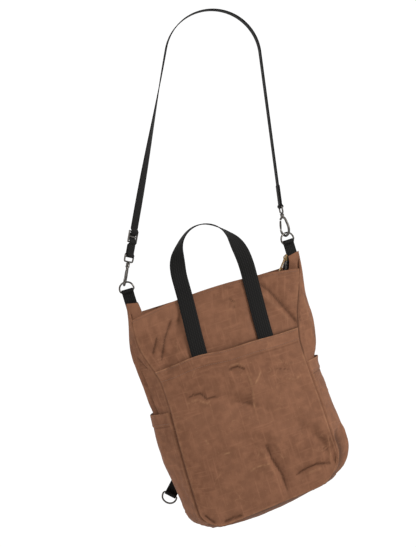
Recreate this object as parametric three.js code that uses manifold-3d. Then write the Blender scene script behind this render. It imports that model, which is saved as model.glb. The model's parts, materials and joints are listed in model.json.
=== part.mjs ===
// A soft backpack of waxed canvas that hangs, tilted, from a hooked shoulder strap.
// Millimetres, +Z up, the front toward -Y, the origin under the crown of the strap.
import * as THREE from "three";
import { mergeVertices } from "three/addons/utils/BufferGeometryUtils.js";
import Module from "manifold-3d";

const wasm = await Module();
wasm.setup();
const { clamp, lerp, smoothstep, degToRad } = THREE.MathUtils;

// Cloth, webbing and the clearance between pieces
const CANVAS = 1.5;
const WEBBING = 1.7;
const GAP = 0.4;
const HEM = { height: 20, extra: 1.2 };

// The bag in its own upright frame: bottom at height 0, mid depth at y 0
const BAG = {
  tiltDeg: 17,
  originX: 95.5,
  originZ: -800.5,
  frontTop: 371,
  cornerTop: 358,
  backTop: 366,
  peakRise: 26,
  topShift: 16.5,
};

// One row for each height: front seam half width, depth of the two seams, how far
// each side stands out between them, and the swell of front and back
const SIDE = [
  { z: 0, seam: 119, front: -54, back: 50, outLeft: 7, outRight: 26, swell: 5, backSwell: 3 },
  { z: 82, seam: 119, front: -54, back: 51, outLeft: 17, outRight: 28, swell: 11, backSwell: 4 },
  { z: 140, seam: 118, front: -53, back: 49, outLeft: 24, outRight: 23, swell: 13, backSwell: 5 },
  { z: 205, seam: 115, front: -50, back: 46, outLeft: 24, outRight: 22, swell: 13, backSwell: 5 },
  { z: 230, seam: 115, front: -47, back: 44, outLeft: 26, outRight: 31, swell: 12, backSwell: 5 },
  { z: 254, seam: 116, front: -44, back: 42, outLeft: 26, outRight: 37, swell: 12, backSwell: 5 },
  { z: 284, seam: 124, front: -36, back: 36, outLeft: 20, outRight: 31, swell: 11, backSwell: 5 },
  { z: 318, seam: 135, front: -24, back: 27, outLeft: 11, outRight: 17, swell: 10, backSwell: 6 },
  { z: 358, seam: 142, front: -11, back: 15, outLeft: 3, outRight: 5, swell: 9, backSwell: 8 },
  { z: 390, seam: 144, front: -8, back: 12, outLeft: 0, outRight: 2, swell: 9, backSwell: 8 },
];

// Lower corners of the front seam and the swell of the base below it
const CORNER = {
  left: { sign: -1, radius: 36, z: 9 },
  right: { sign: 1, radius: 52, z: 20 },
};
const BASE = { out: 8, bulge: 8, cornerTurn: 1.2 };

// Folds of the front: a line from one place to another (x, z), its half width,
// and how far the cloth stands out of the surface (a valley is negative)
const FRONT_FOLDS = [
  { from: [92, 350], to: [122, 276], half: 11, rise: -8 },
  { from: [-65, 334], to: [-100, 276], half: 11, rise: -8 },
  { from: [-8, 246], to: [22, 236], half: 9, rise: -3 },
  { from: [24, 232], to: [20, 170], half: 9, rise: 3.5 },
  { from: [-56, 216], to: [2, 185], half: 11, rise: -4.5 },
  { from: [2, 185], to: [105, 86], half: 18, rise: -7 },
  { from: [-42, 193], to: [-38, 97], half: 16, rise: 5 },
  { from: [14, 106], to: [29, 26], half: 10, rise: -6 },
  { from: [50, 53], to: [108, 52], half: 9, rise: -5 },
  { from: [110, 84], to: [112, 62], half: 11, rise: -7 },
];

// The pleat of each side: how deep, between which heights, and its place across the side
const PLEAT = {
  left: { depth: 18, low: 145, high: 330, at: 0.71, half: 0.115 },
  right: { depth: 16, low: 140, high: 290, at: 0.64, half: 0.15 },
};

const FRONT_POCKET = { hem: 271, standOff: 1, mouthGap: 10 };
const SIDE_POCKET = {
  left: { hem: 205, mouthGap: 1 },
  right: { hem: 216, mouthGap: 2 },
};

// Zip: half widths of chain and tape, sunk height, place where the ends rise
const ZIP = {
  half: 131,
  z: 351,
  endZ: 394,
  endY: -3,
  riseFrom: 0.9,
  endTurnDeg: 40,
  chain: 2.2,
  tapeIn: 2.6,
  tapeOut: 4.7,
  frontEdge: 6.2,
  backEdge: 6.8,
  tapeThick: 0.8,
};

const PULL = { half: 3.4, bar: 0.7, slot: 6.4, length: 24, thick: 1.2, lift: 3.9, raisedDeg: 24 };

// Facings: how far past the zip's ends they go, and their rise there at the front
const FACING = { end: 141.5, past: 0.08, rise: 3.5, lowShare: 0.985, endShare: 0.993 };

const HANDLE = {
  width: 25.4,
  legX: 54.5,
  footZ: 259,
  footShift: 9,
  topShift: 18,
  legTop: 388,
  crownZ: 472,
  lean: 8,
};

const TAB = { width: 19.4, length: 19, x: 136, y: 5, z: 384.8, yawDeg: 22 };
const RING = { wire: 1.5, inner: 21, height: 15 };

const HOOK = {
  wire: 2.1,
  barrelRadius: 3.6,
  barrelFrom: 28,
  barrelTo: 34,
  bore: 2.1,
  post: 1.7,
  eyeHeight: 10,
};
const HOOK_PLACE = {
  left: { sign: -1, lean: 0.179, yawDeg: 78, eyeYawDeg: 52 },
  right: { sign: 1, lean: -0.196, yawDeg: -38, eyeYawDeg: 90 },
};

const STRAP = { width: 20, crownRadius: 76, rightStem: 34, slideAt: 30 };
const SLIDE = { length: 19.4, width: 26, thick: 2.4, bar: 2.4, wave: 8.5 };

const LOWER_TAB = {
  width: 19.4,
  left: { length: 60, barX: -144.02, barZ: 65.61, turnDeg: 45 },
  right: { length: 52, barX: 132, barZ: 76, turnDeg: 45 },
};

const COLOURS = {
  canvas: 0x7d5844,
  webbing: 0x17171a,
  zip: 0x1a1a1c,
  gunmetal: 0x4c4c50,
  brass: 0x8f7440,
};

const group = new THREE.Group();
group.name = "convertible_backpack";
const UP = new THREE.Vector3(0, 0, 1);
const BACK = new THREE.Vector3(0, 1, 0);
const vec = (x, y, z) => new THREE.Vector3(x, y, z);

// Steps from one number to another, both included
function steps(from, to, count) {
  return Array.from({ length: count + 1 }, (_, i) => lerp(from, to, i / count));
}

function addMesh(name, geometry, colour, metal = 0) {
  const material = new THREE.MeshStandardMaterial({
    color: colour,
    metalness: metal,
    roughness: metal ? 0.4 : 0.85,
  });
  const mesh = new THREE.Mesh(geometry, material);
  mesh.name = name;
  group.add(mesh);
  return mesh;
}

// A closed geometry from corner points and triangles
function closedGeometry(points, triangles) {
  const geometry = new THREE.BufferGeometry();
  const places = points.flatMap((p) => p.toArray());
  geometry.setAttribute("position", new THREE.Float32BufferAttribute(places, 3));
  geometry.setIndex(triangles);
  geometry.computeVertexNormals();
  return geometry;
}

// A piece of cloth: the outer face is point(a, b), and it is thickened inward
function cloth(point, across, up, thickness = () => CANVAS) {
  const outer = up.map((b) => across.map((a) => point(a, b)));
  const rows = up.length;
  const columns = across.length;
  const inner = outer.map((row, j) => row.map((p, i) => {
    const right = row[Math.min(i + 1, columns - 1)].clone().sub(row[Math.max(i - 1, 0)]);
    const rise = outer[Math.min(j + 1, rows - 1)][i].clone().sub(outer[Math.max(j - 1, 0)][i]);
    const inward = rise.cross(right).normalize();
    return p.clone().addScaledVector(inward, thickness(across[i], up[j]));
  }));
  const points = [...outer.flat(), ...inner.flat()];
  const layer = rows * columns;
  const triangles = [];
  const quad = (a, b, c, d) => triangles.push(a, b, c, a, c, d);
  for (let j = 0; j + 1 < rows; j += 1) {
    for (let i = 0; i + 1 < columns; i += 1) {
      const a = j * columns + i;
      quad(a, a + 1, a + columns + 1, a + columns);
      quad(layer + a, layer + a + columns, layer + a + columns + 1, layer + a + 1);
    }
  }
  for (let i = 0; i + 1 < columns; i += 1) {
    const top = (rows - 1) * columns + i;
    quad(i, layer + i, layer + i + 1, i + 1);
    quad(top, top + 1, layer + top + 1, layer + top);
  }
  for (let j = 0; j + 1 < rows; j += 1) {
    const left = j * columns;
    const right = left + columns - 1;
    quad(left, left + columns, layer + left + columns, layer + left);
    quad(right, layer + right, layer + right + columns, right + columns);
  }
  return closedGeometry(points, triangles);
}

// A flat band through stations of place, width direction and face direction
function ribbon(stations, width, thickness) {
  const points = [];
  const triangles = [];
  const quad = (a, b, c, d) => triangles.push(a, b, c, a, c, d);
  for (const { place, side, face } of stations) {
    for (const [u, v] of [[-1, -1], [1, -1], [1, 1], [-1, 1]]) {
      const corner = place.clone().addScaledVector(side, (u * width) / 2);
      points.push(corner.addScaledVector(face, (v * thickness) / 2));
    }
  }
  const last = (stations.length - 1) * 4;
  for (let k = 0; k < last; k += 4) {
    for (let c = 0; c < 4; c += 1) {
      const d = (c + 1) % 4;
      quad(k + c, k + d, k + 4 + d, k + 4 + c);
    }
  }
  quad(3, 2, 1, 0);
  quad(last, last + 1, last + 2, last + 3);
  return closedGeometry(points, triangles);
}

// Stations of a band along points, each with its face direction
function bandStations(points, faceAt) {
  return points.map((place, i) => {
    const before = points[Math.max(i - 1, 0)];
    const after = points[Math.min(i + 1, points.length - 1)];
    const along = after.clone().sub(before).normalize();
    const side = faceAt(i).clone().cross(along).normalize();
    return { place, side, face: along.clone().cross(side).normalize() };
  });
}

// Joining and cutting of closed solids
function solidOf(geometry) {
  const bare = geometry.clone();
  bare.deleteAttribute("normal");
  bare.deleteAttribute("uv");
  const merged = mergeVertices(bare, 1e-4);
  return new wasm.Manifold(new wasm.Mesh({
    numProp: 3,
    vertProperties: Float32Array.from(merged.attributes.position.array),
    triVerts: Uint32Array.from(merged.index.array),
  }));
}

function geometryOf(solid) {
  const mesh = solid.getMesh();
  const geometry = new THREE.BufferGeometry();
  geometry.setAttribute("position", new THREE.Float32BufferAttribute(mesh.vertProperties, 3));
  geometry.setIndex(new THREE.Uint32BufferAttribute(mesh.triVerts, 1));
  geometry.computeVertexNormals();
  return geometry;
}

const joined = (...parts) => geometryOf(parts.map(solidOf).reduce((a, b) => a.add(b)));
const cut = (from, ...tools) =>
  geometryOf(tools.map(solidOf).reduce((a, b) => a.subtract(b), solidOf(from)));

// Placing a geometry: x, y and z directions and the place of its origin
function placed(geometry, x, y, z, at) {
  return geometry.clone().applyMatrix4(new THREE.Matrix4().makeBasis(x, y, z).setPosition(at));
}

const TILT = new THREE.Matrix4()
  .makeRotationY(-degToRad(BAG.tiltDeg))
  .setPosition(BAG.originX, 0, BAG.originZ);
const toWorld = (p) => p.clone().applyMatrix4(TILT);
const turned = (d) => d.clone().transformDirection(TILT);
const addBagMesh = (name, geometry, colour, metal) =>
  addMesh(name, geometry.clone().applyMatrix4(TILT), colour, metal);

// The side table, read at any height
const columnNames = Object.keys(SIDE[0]).filter((name) => name !== "z");
const sideCurve = new THREE.CubicInterpolant(
  Float32Array.from(SIDE.map((row) => row.z)),
  Float32Array.from(SIDE.flatMap((row) => columnNames.map((name) => row[name]))),
  columnNames.length,
  new Float32Array(columnNames.length),
);
function sideAt(z) {
  const values = sideCurve.evaluate(Math.max(z, 0));
  return Object.fromEntries(columnNames.map((name, i) => [name, values[i]]));
}

// The strap pulls the top toward one side
const shiftAt = (z) => BAG.topShift * smoothstep(z, 290, 386);
const bagPoint = (x, y, z) => vec(x + shiftAt(z), y, z);

// Height of the front seam's lower run at a place across the bag
const lowSeam = sideAt(0).seam;
const cornerEnd = (corner) => corner.sign * (lowSeam - corner.radius);
function bottomAt(x) {
  const { left, right } = CORNER;
  const corner = x < cornerEnd(left) ? left : right;
  const beyond = corner.sign * (x - cornerEnd(corner));
  if (beyond > 0) {
    const drop = Math.sqrt(Math.max(corner.radius ** 2 - beyond ** 2, 0));
    return corner.z + corner.radius - drop;
  }
  const share = (x - cornerEnd(left)) / (cornerEnd(right) - cornerEnd(left));
  return lerp(left.z, right.z, share);
}

// How far the folds move the front outward at a place
function foldRise(x, z) {
  let rise = 0;
  for (const fold of FRONT_FOLDS) {
    const line = new THREE.Line3(vec(...fold.from, 0), vec(...fold.to, 0));
    const near = line.closestPointToPoint(vec(x, z, 0), true, vec(0, 0, 0));
    const away = near.distanceTo(vec(x, z, 0)) / fold.half;
    rise += fold.rise * Math.exp(-away * away);
  }
  return rise;
}

// Height in the bag of a row of the front or back: rows bend to the bottom and the top
const LEVEL = { low: 110, high: 300 };
function rowHeight(x, row, top) {
  if (row < LEVEL.low) {
    return lerp(bottomAt(x), LEVEL.low, row / LEVEL.low);
  }
  if (row > LEVEL.high) {
    return lerp(LEVEL.high, top, (row - LEVEL.high) / (BAG.frontTop - LEVEL.high));
  }
  return row;
}

function frontPoint(a, row, off = 0) {
  const z = rowHeight(a * lowSeam, row, lerp(BAG.frontTop, BAG.cornerTop, a * a));
  const side = sideAt(z);
  const x = side.seam * a;
  const edge = 1 - Math.abs(a) ** 2.6;
  const calmEnds = smoothstep(row, 0, 26) * smoothstep(BAG.frontTop - row, 0, 26);
  const calm = smoothstep(1 - Math.abs(a), 0, 0.2) * calmEnds;
  return bagPoint(x, side.front - side.swell * edge - foldRise(x, z) * calm - off, z);
}

function backPoint(a, row) {
  const z = rowHeight(a * lowSeam, row, BAG.backTop);
  const side = sideAt(z);
  return bagPoint(side.seam * a, side.back + side.backSwell * (1 - Math.abs(a) ** 2.6), z);
}

// Stations round the seam, down one side, along the base and up the other
const outAt = (sign, z) => (sign < 0 ? sideAt(z).outLeft : sideAt(z).outRight);
function sideStation(sign, z) {
  const side = sideAt(z);
  return { ...side, x: sign * side.seam, z, nx: sign, nz: 0, out: outAt(sign, z) };
}

function cornerStation(corner, turn) {
  const middle = corner.sign * (lowSeam - corner.radius);
  const nx = corner.sign * Math.cos(turn);
  const nz = -Math.sin(turn);
  const side = sideAt(0);
  const sideOut = outAt(corner.sign, corner.z + corner.radius);
  const out = lerp(sideOut, BASE.out, smoothstep(turn, 0, BASE.cornerTurn));
  const x = middle + nx * corner.radius;
  const z = corner.z + corner.radius + nz * corner.radius;
  return { ...side, x, z, nx, nz, out };
}

function baseStation(x) {
  const { left, right } = CORNER;
  const share = (x - cornerEnd(left)) / (cornerEnd(right) - cornerEnd(left));
  const out = BASE.out + BASE.bulge * Math.sin(Math.PI * share) ** 0.8;
  return { ...sideAt(0), x, z: bottomAt(x), nx: 0, nz: -1, out };
}

const CORNER_SPLIT = Math.PI / 4;
function sideStations(corner, count) {
  const start = corner.z + corner.radius;
  const turns = steps(CORNER_SPLIT - 0.012, 0, 3).map((turn) => cornerStation(corner, turn));
  const rise = steps(start, BAG.cornerTop, count).slice(1).map((z) => sideStation(corner.sign, z));
  return [...turns, ...rise];
}

function baseStations() {
  const { left, right } = CORNER;
  const first = steps(CORNER_SPLIT, Math.PI / 2, 3).map((turn) => cornerStation(left, turn));
  const run = steps(cornerEnd(left), cornerEnd(right), 9).slice(1, -1).map(baseStation);
  const last = steps(Math.PI / 2, CORNER_SPLIT, 3).map((turn) => cornerStation(right, turn));
  return [...first, ...run, ...last];
}

// A place on the band round the bag; t runs from the back seam to the front seam
function bandPoint(station, t, off, pleat) {
  const inset = CANVAS + 2.5 * GAP;
  const y = lerp(station.back - inset, station.front + inset, t);
  let out = station.out * (1 - Math.abs(2 * t - 1) ** 1.7) + off;
  if (pleat) {
    const begin = smoothstep(station.z, pleat.low, pleat.low + 22);
    const share = begin * smoothstep(pleat.high - station.z, 0, 60);
    out -= pleat.depth * share * Math.exp(-(((t - pleat.at) / pleat.half) ** 2));
  }
  const rise = BAG.peakRise * Math.sin(Math.PI * t) ** 1.2 * smoothstep(station.z, 318, BAG.cornerTop);
  return bagPoint(station.x + station.nx * out, y, station.z + station.nz * out + rise);
}

// Main cloth panels
const ACROSS = steps(-1, 1, 17);
const COVERED = [0, 9, 22, 38, 56, 74, 92, 110, 130, 150, 170, 190, 210, 230, 250];
const frontRows = [...COVERED, FRONT_POCKET.hem, 286, 300, 314, 328, 342, 356, BAG.frontTop];
addBagMesh("front_panel", cloth(frontPoint, ACROSS, frontRows), COLOURS.canvas);

const backRows = [0, 12, 34, 70, 110, 165, 220, 265, 300, 325, 348, BAG.frontTop];
const backAcross = steps(1, -1, 12);
addBagMesh("back_panel", cloth(backPoint, backAcross, backRows), COLOURS.canvas);

for (const name of ["left", "right"]) {
  const corner = CORNER[name];
  const stations = sideStations(corner, 13);
  const t = corner.sign < 0 ? steps(0, 1, 10) : steps(1, 0, 10);
  const point = (a, b) => bandPoint(b, a, 0, PLEAT[name]);
  addBagMesh(`side_panel_${name}`, cloth(point, t, stations), COLOURS.canvas);
}

const basePoint = (b, t) => bandPoint(b, t, 0);
addBagMesh("base_panel", cloth(basePoint, baseStations(), steps(0, 1, 6)), COLOURS.canvas);

// Front pocket: it follows the front panel and stands off it toward its mouth
function pocketPoint(a, row) {
  const calm = (1 - a * a) * smoothstep(row, 40, FRONT_POCKET.hem);
  const hem = row > FRONT_POCKET.hem - HEM.height ? HEM.extra : 0;
  return frontPoint(a, row, CANVAS + FRONT_POCKET.standOff + FRONT_POCKET.mouthGap * calm + hem);
}
const hemRows = (top) => [top - HEM.height - 0.5, top - HEM.height + 0.5, top];
const hemThick = (top) => (a, row) => CANVAS + (row > top - HEM.height ? HEM.extra : 0);
const pocketRows = [...COVERED.slice(0, -1), ...hemRows(FRONT_POCKET.hem)];
const pocket = cloth(pocketPoint, ACROSS, pocketRows, hemThick(FRONT_POCKET.hem));
addBagMesh("front_pocket", pocket, COLOURS.canvas);

// Side pockets
for (const name of ["left", "right"]) {
  const corner = CORNER[name];
  const { hem, mouthGap } = SIDE_POCKET[name];
  const t = corner.sign < 0 ? steps(0.03, 0.97, 8) : steps(0.97, 0.03, 8);
  const low = corner.z + corner.radius;
  const turns = steps(CORNER_SPLIT - 0.012, 0, 3).map((turn) => cornerStation(corner, turn));
  const heights = [...steps(low, hem - HEM.height - 0.5, 6).slice(1), hem - HEM.height + 0.5, hem];
  const stations = [...turns, ...heights.map((z) => sideStation(corner.sign, z))];
  const isHem = (station) => (station.nz === 0 && station.z > hem - HEM.height ? HEM.extra : 0);
  const point = (a, b) => {
    const open = mouthGap * Math.sin(Math.PI * a) * smoothstep(b.z, low, hem);
    return bandPoint(b, a, CANVAS + 3.5 * GAP + open + isHem(b));
  };
  const thick = (a, b) => CANVAS + isHem(b);
  addBagMesh(`side_pocket_${name}`, cloth(point, t, stations, thick), COLOURS.canvas);
}

// Zip: its middle line, width direction and outward direction
function zipRise(a) {
  return smoothstep(Math.abs(a), ZIP.riseFrom, 1);
}

function zipPlace(a) {
  const rise = zipRise(a);
  return bagPoint(ZIP.half * a, ZIP.endY * rise, lerp(ZIP.z, ZIP.endZ, rise));
}

function zipFrame(a) {
  const along = zipPlace(a + 0.005).sub(zipPlace(a - 0.005)).normalize();
  const turn = degToRad(ZIP.endTurnDeg) * zipRise(a);
  const side = vec(0, Math.cos(turn), Math.sin(turn));
  side.addScaledVector(along, -side.dot(along)).normalize();
  return { place: zipPlace(a), along, side, face: along.clone().cross(side) };
}

const zipEnd = 0.966;
const zipRun = steps(-0.7, 0.7, 6);
const zipSteps = [...steps(-zipEnd, -ZIP.riseFrom, 5), ...zipRun, ...steps(ZIP.riseFrom, zipEnd, 5)];
function zipBand(offset, width, thickness) {
  const stations = zipSteps.map((a) => {
    const { place, along, side, face } = zipFrame(a);
    const middle = place.clone().addScaledVector(side, offset);
    return { place: middle, side: along.clone().cross(face).negate(), face };
  });
  return ribbon(stations, width, thickness);
}

const tapeMiddle = (ZIP.tapeIn + ZIP.tapeOut) / 2;
const tapeWidth = ZIP.tapeOut - ZIP.tapeIn;
addBagMesh("zip_tape_front", zipBand(-tapeMiddle, tapeWidth, ZIP.tapeThick), COLOURS.zip);
addBagMesh("zip_tape_back", zipBand(tapeMiddle, tapeWidth, ZIP.tapeThick), COLOURS.zip);
addBagMesh("zip_chain", zipBand(0, 2 * ZIP.chain, 2.2), COLOURS.gunmetal, 0.6);

// Facings between the top edges and the zip
function facing(sign) {
  const lift = ZIP.tapeThick / 2;
  const inside = CANVAS + 5 * GAP;
  const point = (a, t) => {
    const along = clamp(a, -1, 1);
    const beyond = Math.abs(a - along) / FACING.past;
    const { place, side, face } = zipFrame(along * zipEnd);
    const reach = sign < 0 ? -ZIP.frontEdge : ZIP.backEdge;
    const inner = place.addScaledVector(side, reach).addScaledVector(face, lift);
    inner.x += Math.sign(a) * beyond * (FACING.end - ZIP.half * zipEnd);
    inner.z -= sign * beyond * FACING.rise;
    const across = along * lerp(FACING.lowShare, FACING.endShare, beyond);
    const edge = sign < 0 ? frontPoint(across, BAG.frontTop) : backPoint(across, BAG.frontTop);
    edge.add(vec(0, -sign * inside, -0.6));
    return sign < 0 ? edge.lerp(inner, t) : inner.lerp(edge, t);
  };
  const run = zipSteps.map((a) => a / zipEnd);
  return cloth(point, [-1 - FACING.past, ...run, 1 + FACING.past], steps(0, 1, 2));
}
addBagMesh("top_facing_front", facing(-1), COLOURS.canvas);
addBagMesh("top_facing_back", facing(1), COLOURS.canvas);

// Front handle: two legs up the front and a crown that turns edge up
function handleGeometry() {
  const points = [];
  const faces = [];
  const outward = vec(0, -1, 0);
  const legRows = [HANDLE.footZ, 266, 276, 292, 308, 324, 340, 356, BAG.frontTop];
  const stand = 2 * GAP + WEBBING / 2;
  const { footShift, topShift } = HANDLE;
  const shiftOf = (z) => lerp(footShift, topShift, smoothstep(z, HANDLE.footZ, HANDLE.legTop));
  const legPoint = (sign, z) => {
    const x = shiftOf(z) + sign * HANDLE.legX;
    const share = (x - shiftAt(z)) / sideAt(z).seam;
    const lean = [-1, -0.5, 0, 0.5, 1].map((k) => {
      const near = share + (k * HANDLE.width) / 2 / sideAt(z).seam;
      return frontPoint(near, z).y;
    });
    return vec(x, Math.min(...lean) - stand, z);
  };
  const crownFrom = legPoint(1, BAG.frontTop).y;
  const crown = steps(0, 1, 18).map((k) => {
    const turn = Math.PI * k;
    const x = HANDLE.topShift + HANDLE.legX * Math.cos(turn);
    const arch = Math.sin(turn) ** 0.9;
    const z = lerp(HANDLE.legTop, HANDLE.crownZ, arch);
    const twist = smoothstep(Math.sin(turn), 0.05, 0.95);
    return { place: vec(x, crownFrom + HANDLE.lean * arch, z), twist };
  });
  for (const z of legRows) {
    points.push(legPoint(1, z));
    faces.push(outward);
  }
  crown.forEach(({ place, twist }) => {
    const away = vec(place.x - HANDLE.topShift, 0, (place.z - HANDLE.legTop) * 1.2 + 1).normalize();
    points.push(place);
    faces.push(outward.clone().multiplyScalar(1 - twist).addScaledVector(away, twist).normalize());
  });
  for (const z of [...legRows].reverse()) {
    points.push(legPoint(-1, z));
    faces.push(outward);
  }
  return ribbon(bandStations(points, (i) => faces[i]), HANDLE.width, WEBBING);
}
addBagMesh("handle", handleGeometry(), COLOURS.webbing);

// A folded webbing tab round a bar: profile in x (thickness) and y (length up to the bar)
function foldedTab(length, width, bar) {
  const eye = bar + GAP;
  const wrap = eye + WEBBING;
  const profile = new THREE.Shape();
  const flat = WEBBING + 0.1;
  const start = Math.acos(flat / wrap);
  profile.moveTo(-flat, 0);
  profile.lineTo(flat, 0);
  profile.absarc(0, length, wrap, -start, Math.PI + start, false);
  profile.closePath();
  const hole = new THREE.Path();
  hole.absarc(0, length, eye, 0, 2 * Math.PI, true);
  profile.holes.push(hole);
  const run = { depth: width, bevelEnabled: false, curveSegments: 6 };
  const geometry = new THREE.ExtrudeGeometry(profile, run);
  return geometry.translate(0, 0, -width / 2);
}

// A D-shaped wire ring with its bar at the origin, along x, and its arch up z
function dRing(wire, inner, height) {
  const half = inner / 2 + wire;
  const bar = [vec(-half * 0.45, 0, 0), vec(half * 0.45, 0, 0)];
  const points = [...bar, vec(half * 0.94, 0, 0.3), vec(half, 0, 3)];
  for (const turn of steps(0, Math.PI, 6)) {
    points.push(vec(half * Math.cos(turn), 0, 5 + (height - 5) * Math.sin(turn)));
  }
  points.push(vec(-half, 0, 3), vec(-half * 0.94, 0, 0.3));
  const curve = new THREE.CatmullRomCurve3(points, true, "centripetal");
  return new THREE.TubeGeometry(curve, 22, wire, 6, true);
}

// A round wire with closed ends
function wireRod(points, radius, segments) {
  const section = new THREE.Shape();
  section.absarc(0, 0, radius, 0, 2 * Math.PI, false);
  const path = new THREE.CatmullRomCurve3(points, false, "centripetal");
  return new THREE.ExtrudeGeometry(section, { steps: segments, extrudePath: path, curveSegments: 4 });
}

function post(radius, from, to, sides = 10) {
  const geometry = new THREE.CylinderGeometry(radius, radius, to - from, sides);
  return geometry.rotateX(Math.PI / 2).translate(0, 0, (from + to) / 2);
}

// Hook: a pear-shaped wire body with a barrel, open at the gate
const hookLine = [
  [-4.6, 24.6], [-3, 27], [0, 28], [3, 26.8], [5.6, 20], [7.3, 10], [5.6, 2],
  [0, -HOOK.wire], [-5.4, 1.4], [-7.2, 7],
].map(([x, z]) => vec(x, 0, z));
function hookBody() {
  const barrel = post(HOOK.barrelRadius, HOOK.barrelFrom - 1, HOOK.barrelTo);
  const body = joined(wireRod(hookLine, HOOK.wire, 16), barrel);
  const room = post(3.5, 20, 25.6);
  return cut(body, post(HOOK.bore, 20, 40), room);
}

function hookGate() {
  return wireRod([vec(-7.1, 0, 9.7), vec(-6.3, 0, 16), vec(-5, 0, 22)], 1.5, 4);
}
const GATE_PIVOT = vec(-5, 0, 21.6);

// Eye of the hook: a wire loop for the webbing on a post with a riveted end
const EYE_BAR = HOOK.barrelTo + GAP + 1.6 + HOOK.eyeHeight;
function hookEye() {
  const half = STRAP.width / 2 + 2.2;
  const low = HOOK.barrelTo + GAP + 1.4;
  const points = [
    [-half * 0.5, low], [half * 0.5, low], [half * 0.92, low + 0.6], [half, low + 3],
    [half, EYE_BAR - 3], [half * 0.92, EYE_BAR - 0.4], [half * 0.5, EYE_BAR],
    [-half * 0.5, EYE_BAR], [-half * 0.92, EYE_BAR - 0.4], [-half, EYE_BAR - 3],
    [-half, low + 3], [-half * 0.92, low + 0.6],
  ].map(([x, z]) => vec(x, 0, z));
  const line = new THREE.CatmullRomCurve3(points, true, "centripetal");
  const loop = new THREE.TubeGeometry(line, 20, 1.4, 6, true);
  return joined(loop, post(HOOK.post, 23.4, low), post(2.9, 23.2, 25.1));
}

// Directions of a piece that stands along an axis and is turned about it
function standing(axis, yawDeg) {
  const along = axis.clone().normalize();
  const right = BACK.clone().cross(along).normalize();
  const x = right.applyAxisAngle(along, degToRad(yawDeg));
  return { x, y: along.clone().cross(x).normalize(), z: along };
}

// Tabs, rings and hooks at the two top corners, and where the strap begins
const strapEnds = {};
for (const name of ["left", "right"]) {
  const { sign, lean, yawDeg, eyeYawDeg } = HOOK_PLACE[name];
  const root = vec(BAG.topShift + sign * TAB.x, TAB.y, TAB.z);
  const local = standing(UP, sign * TAB.yawDeg);
  const tab = foldedTab(TAB.length, TAB.width, RING.wire);
  const tabX = local.y.clone().negate();
  const tabZ = local.x.clone().negate();
  addBagMesh(`tab_${name}`, placed(tab, tabX, local.z, tabZ, root), COLOURS.webbing);
  const bar = root.clone().addScaledVector(UP, TAB.length);
  const ring = dRing(RING.wire, RING.inner, RING.height);
  addBagMesh(`d_ring_${name}`, placed(ring, local.x, local.y, local.z, bar), COLOURS.gunmetal, 0.8);

  const arch = toWorld(bar.clone().addScaledVector(UP, RING.height));
  const axis = vec(lean, 0, 1).normalize();
  const seat = arch.clone().addScaledVector(axis, -(RING.wire + 3 * GAP));
  const hook = standing(axis, yawDeg);
  const eye = standing(axis, eyeYawDeg);
  addMesh(`hook_${name}`, placed(hookBody(), hook.x, hook.y, hook.z, seat), COLOURS.gunmetal, 0.8);
  addMesh(`hook_gate_${name}`, placed(hookGate(), hook.x, hook.y, hook.z, seat), COLOURS.gunmetal, 0.8);
  addMesh(`hook_eye_${name}`, placed(hookEye(), eye.x, eye.y, eye.z, seat), COLOURS.gunmetal, 0.8);
  strapEnds[name] = { bar: seat.clone().addScaledVector(axis, EYE_BAR), eye };
}

// Shoulder strap: two legs that touch a round crown, with a loop at each end
const crownMiddle = vec(0, 0, -STRAP.crownRadius);
const crownLine = STRAP.crownRadius + WEBBING / 2;
function crownTouch(from, sign) {
  const reach = from.clone().sub(crownMiddle);
  const far = Math.hypot(reach.x, reach.z);
  const turn = Math.atan2(reach.z, reach.x) + sign * Math.acos(crownLine / far);
  return turn;
}

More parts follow.
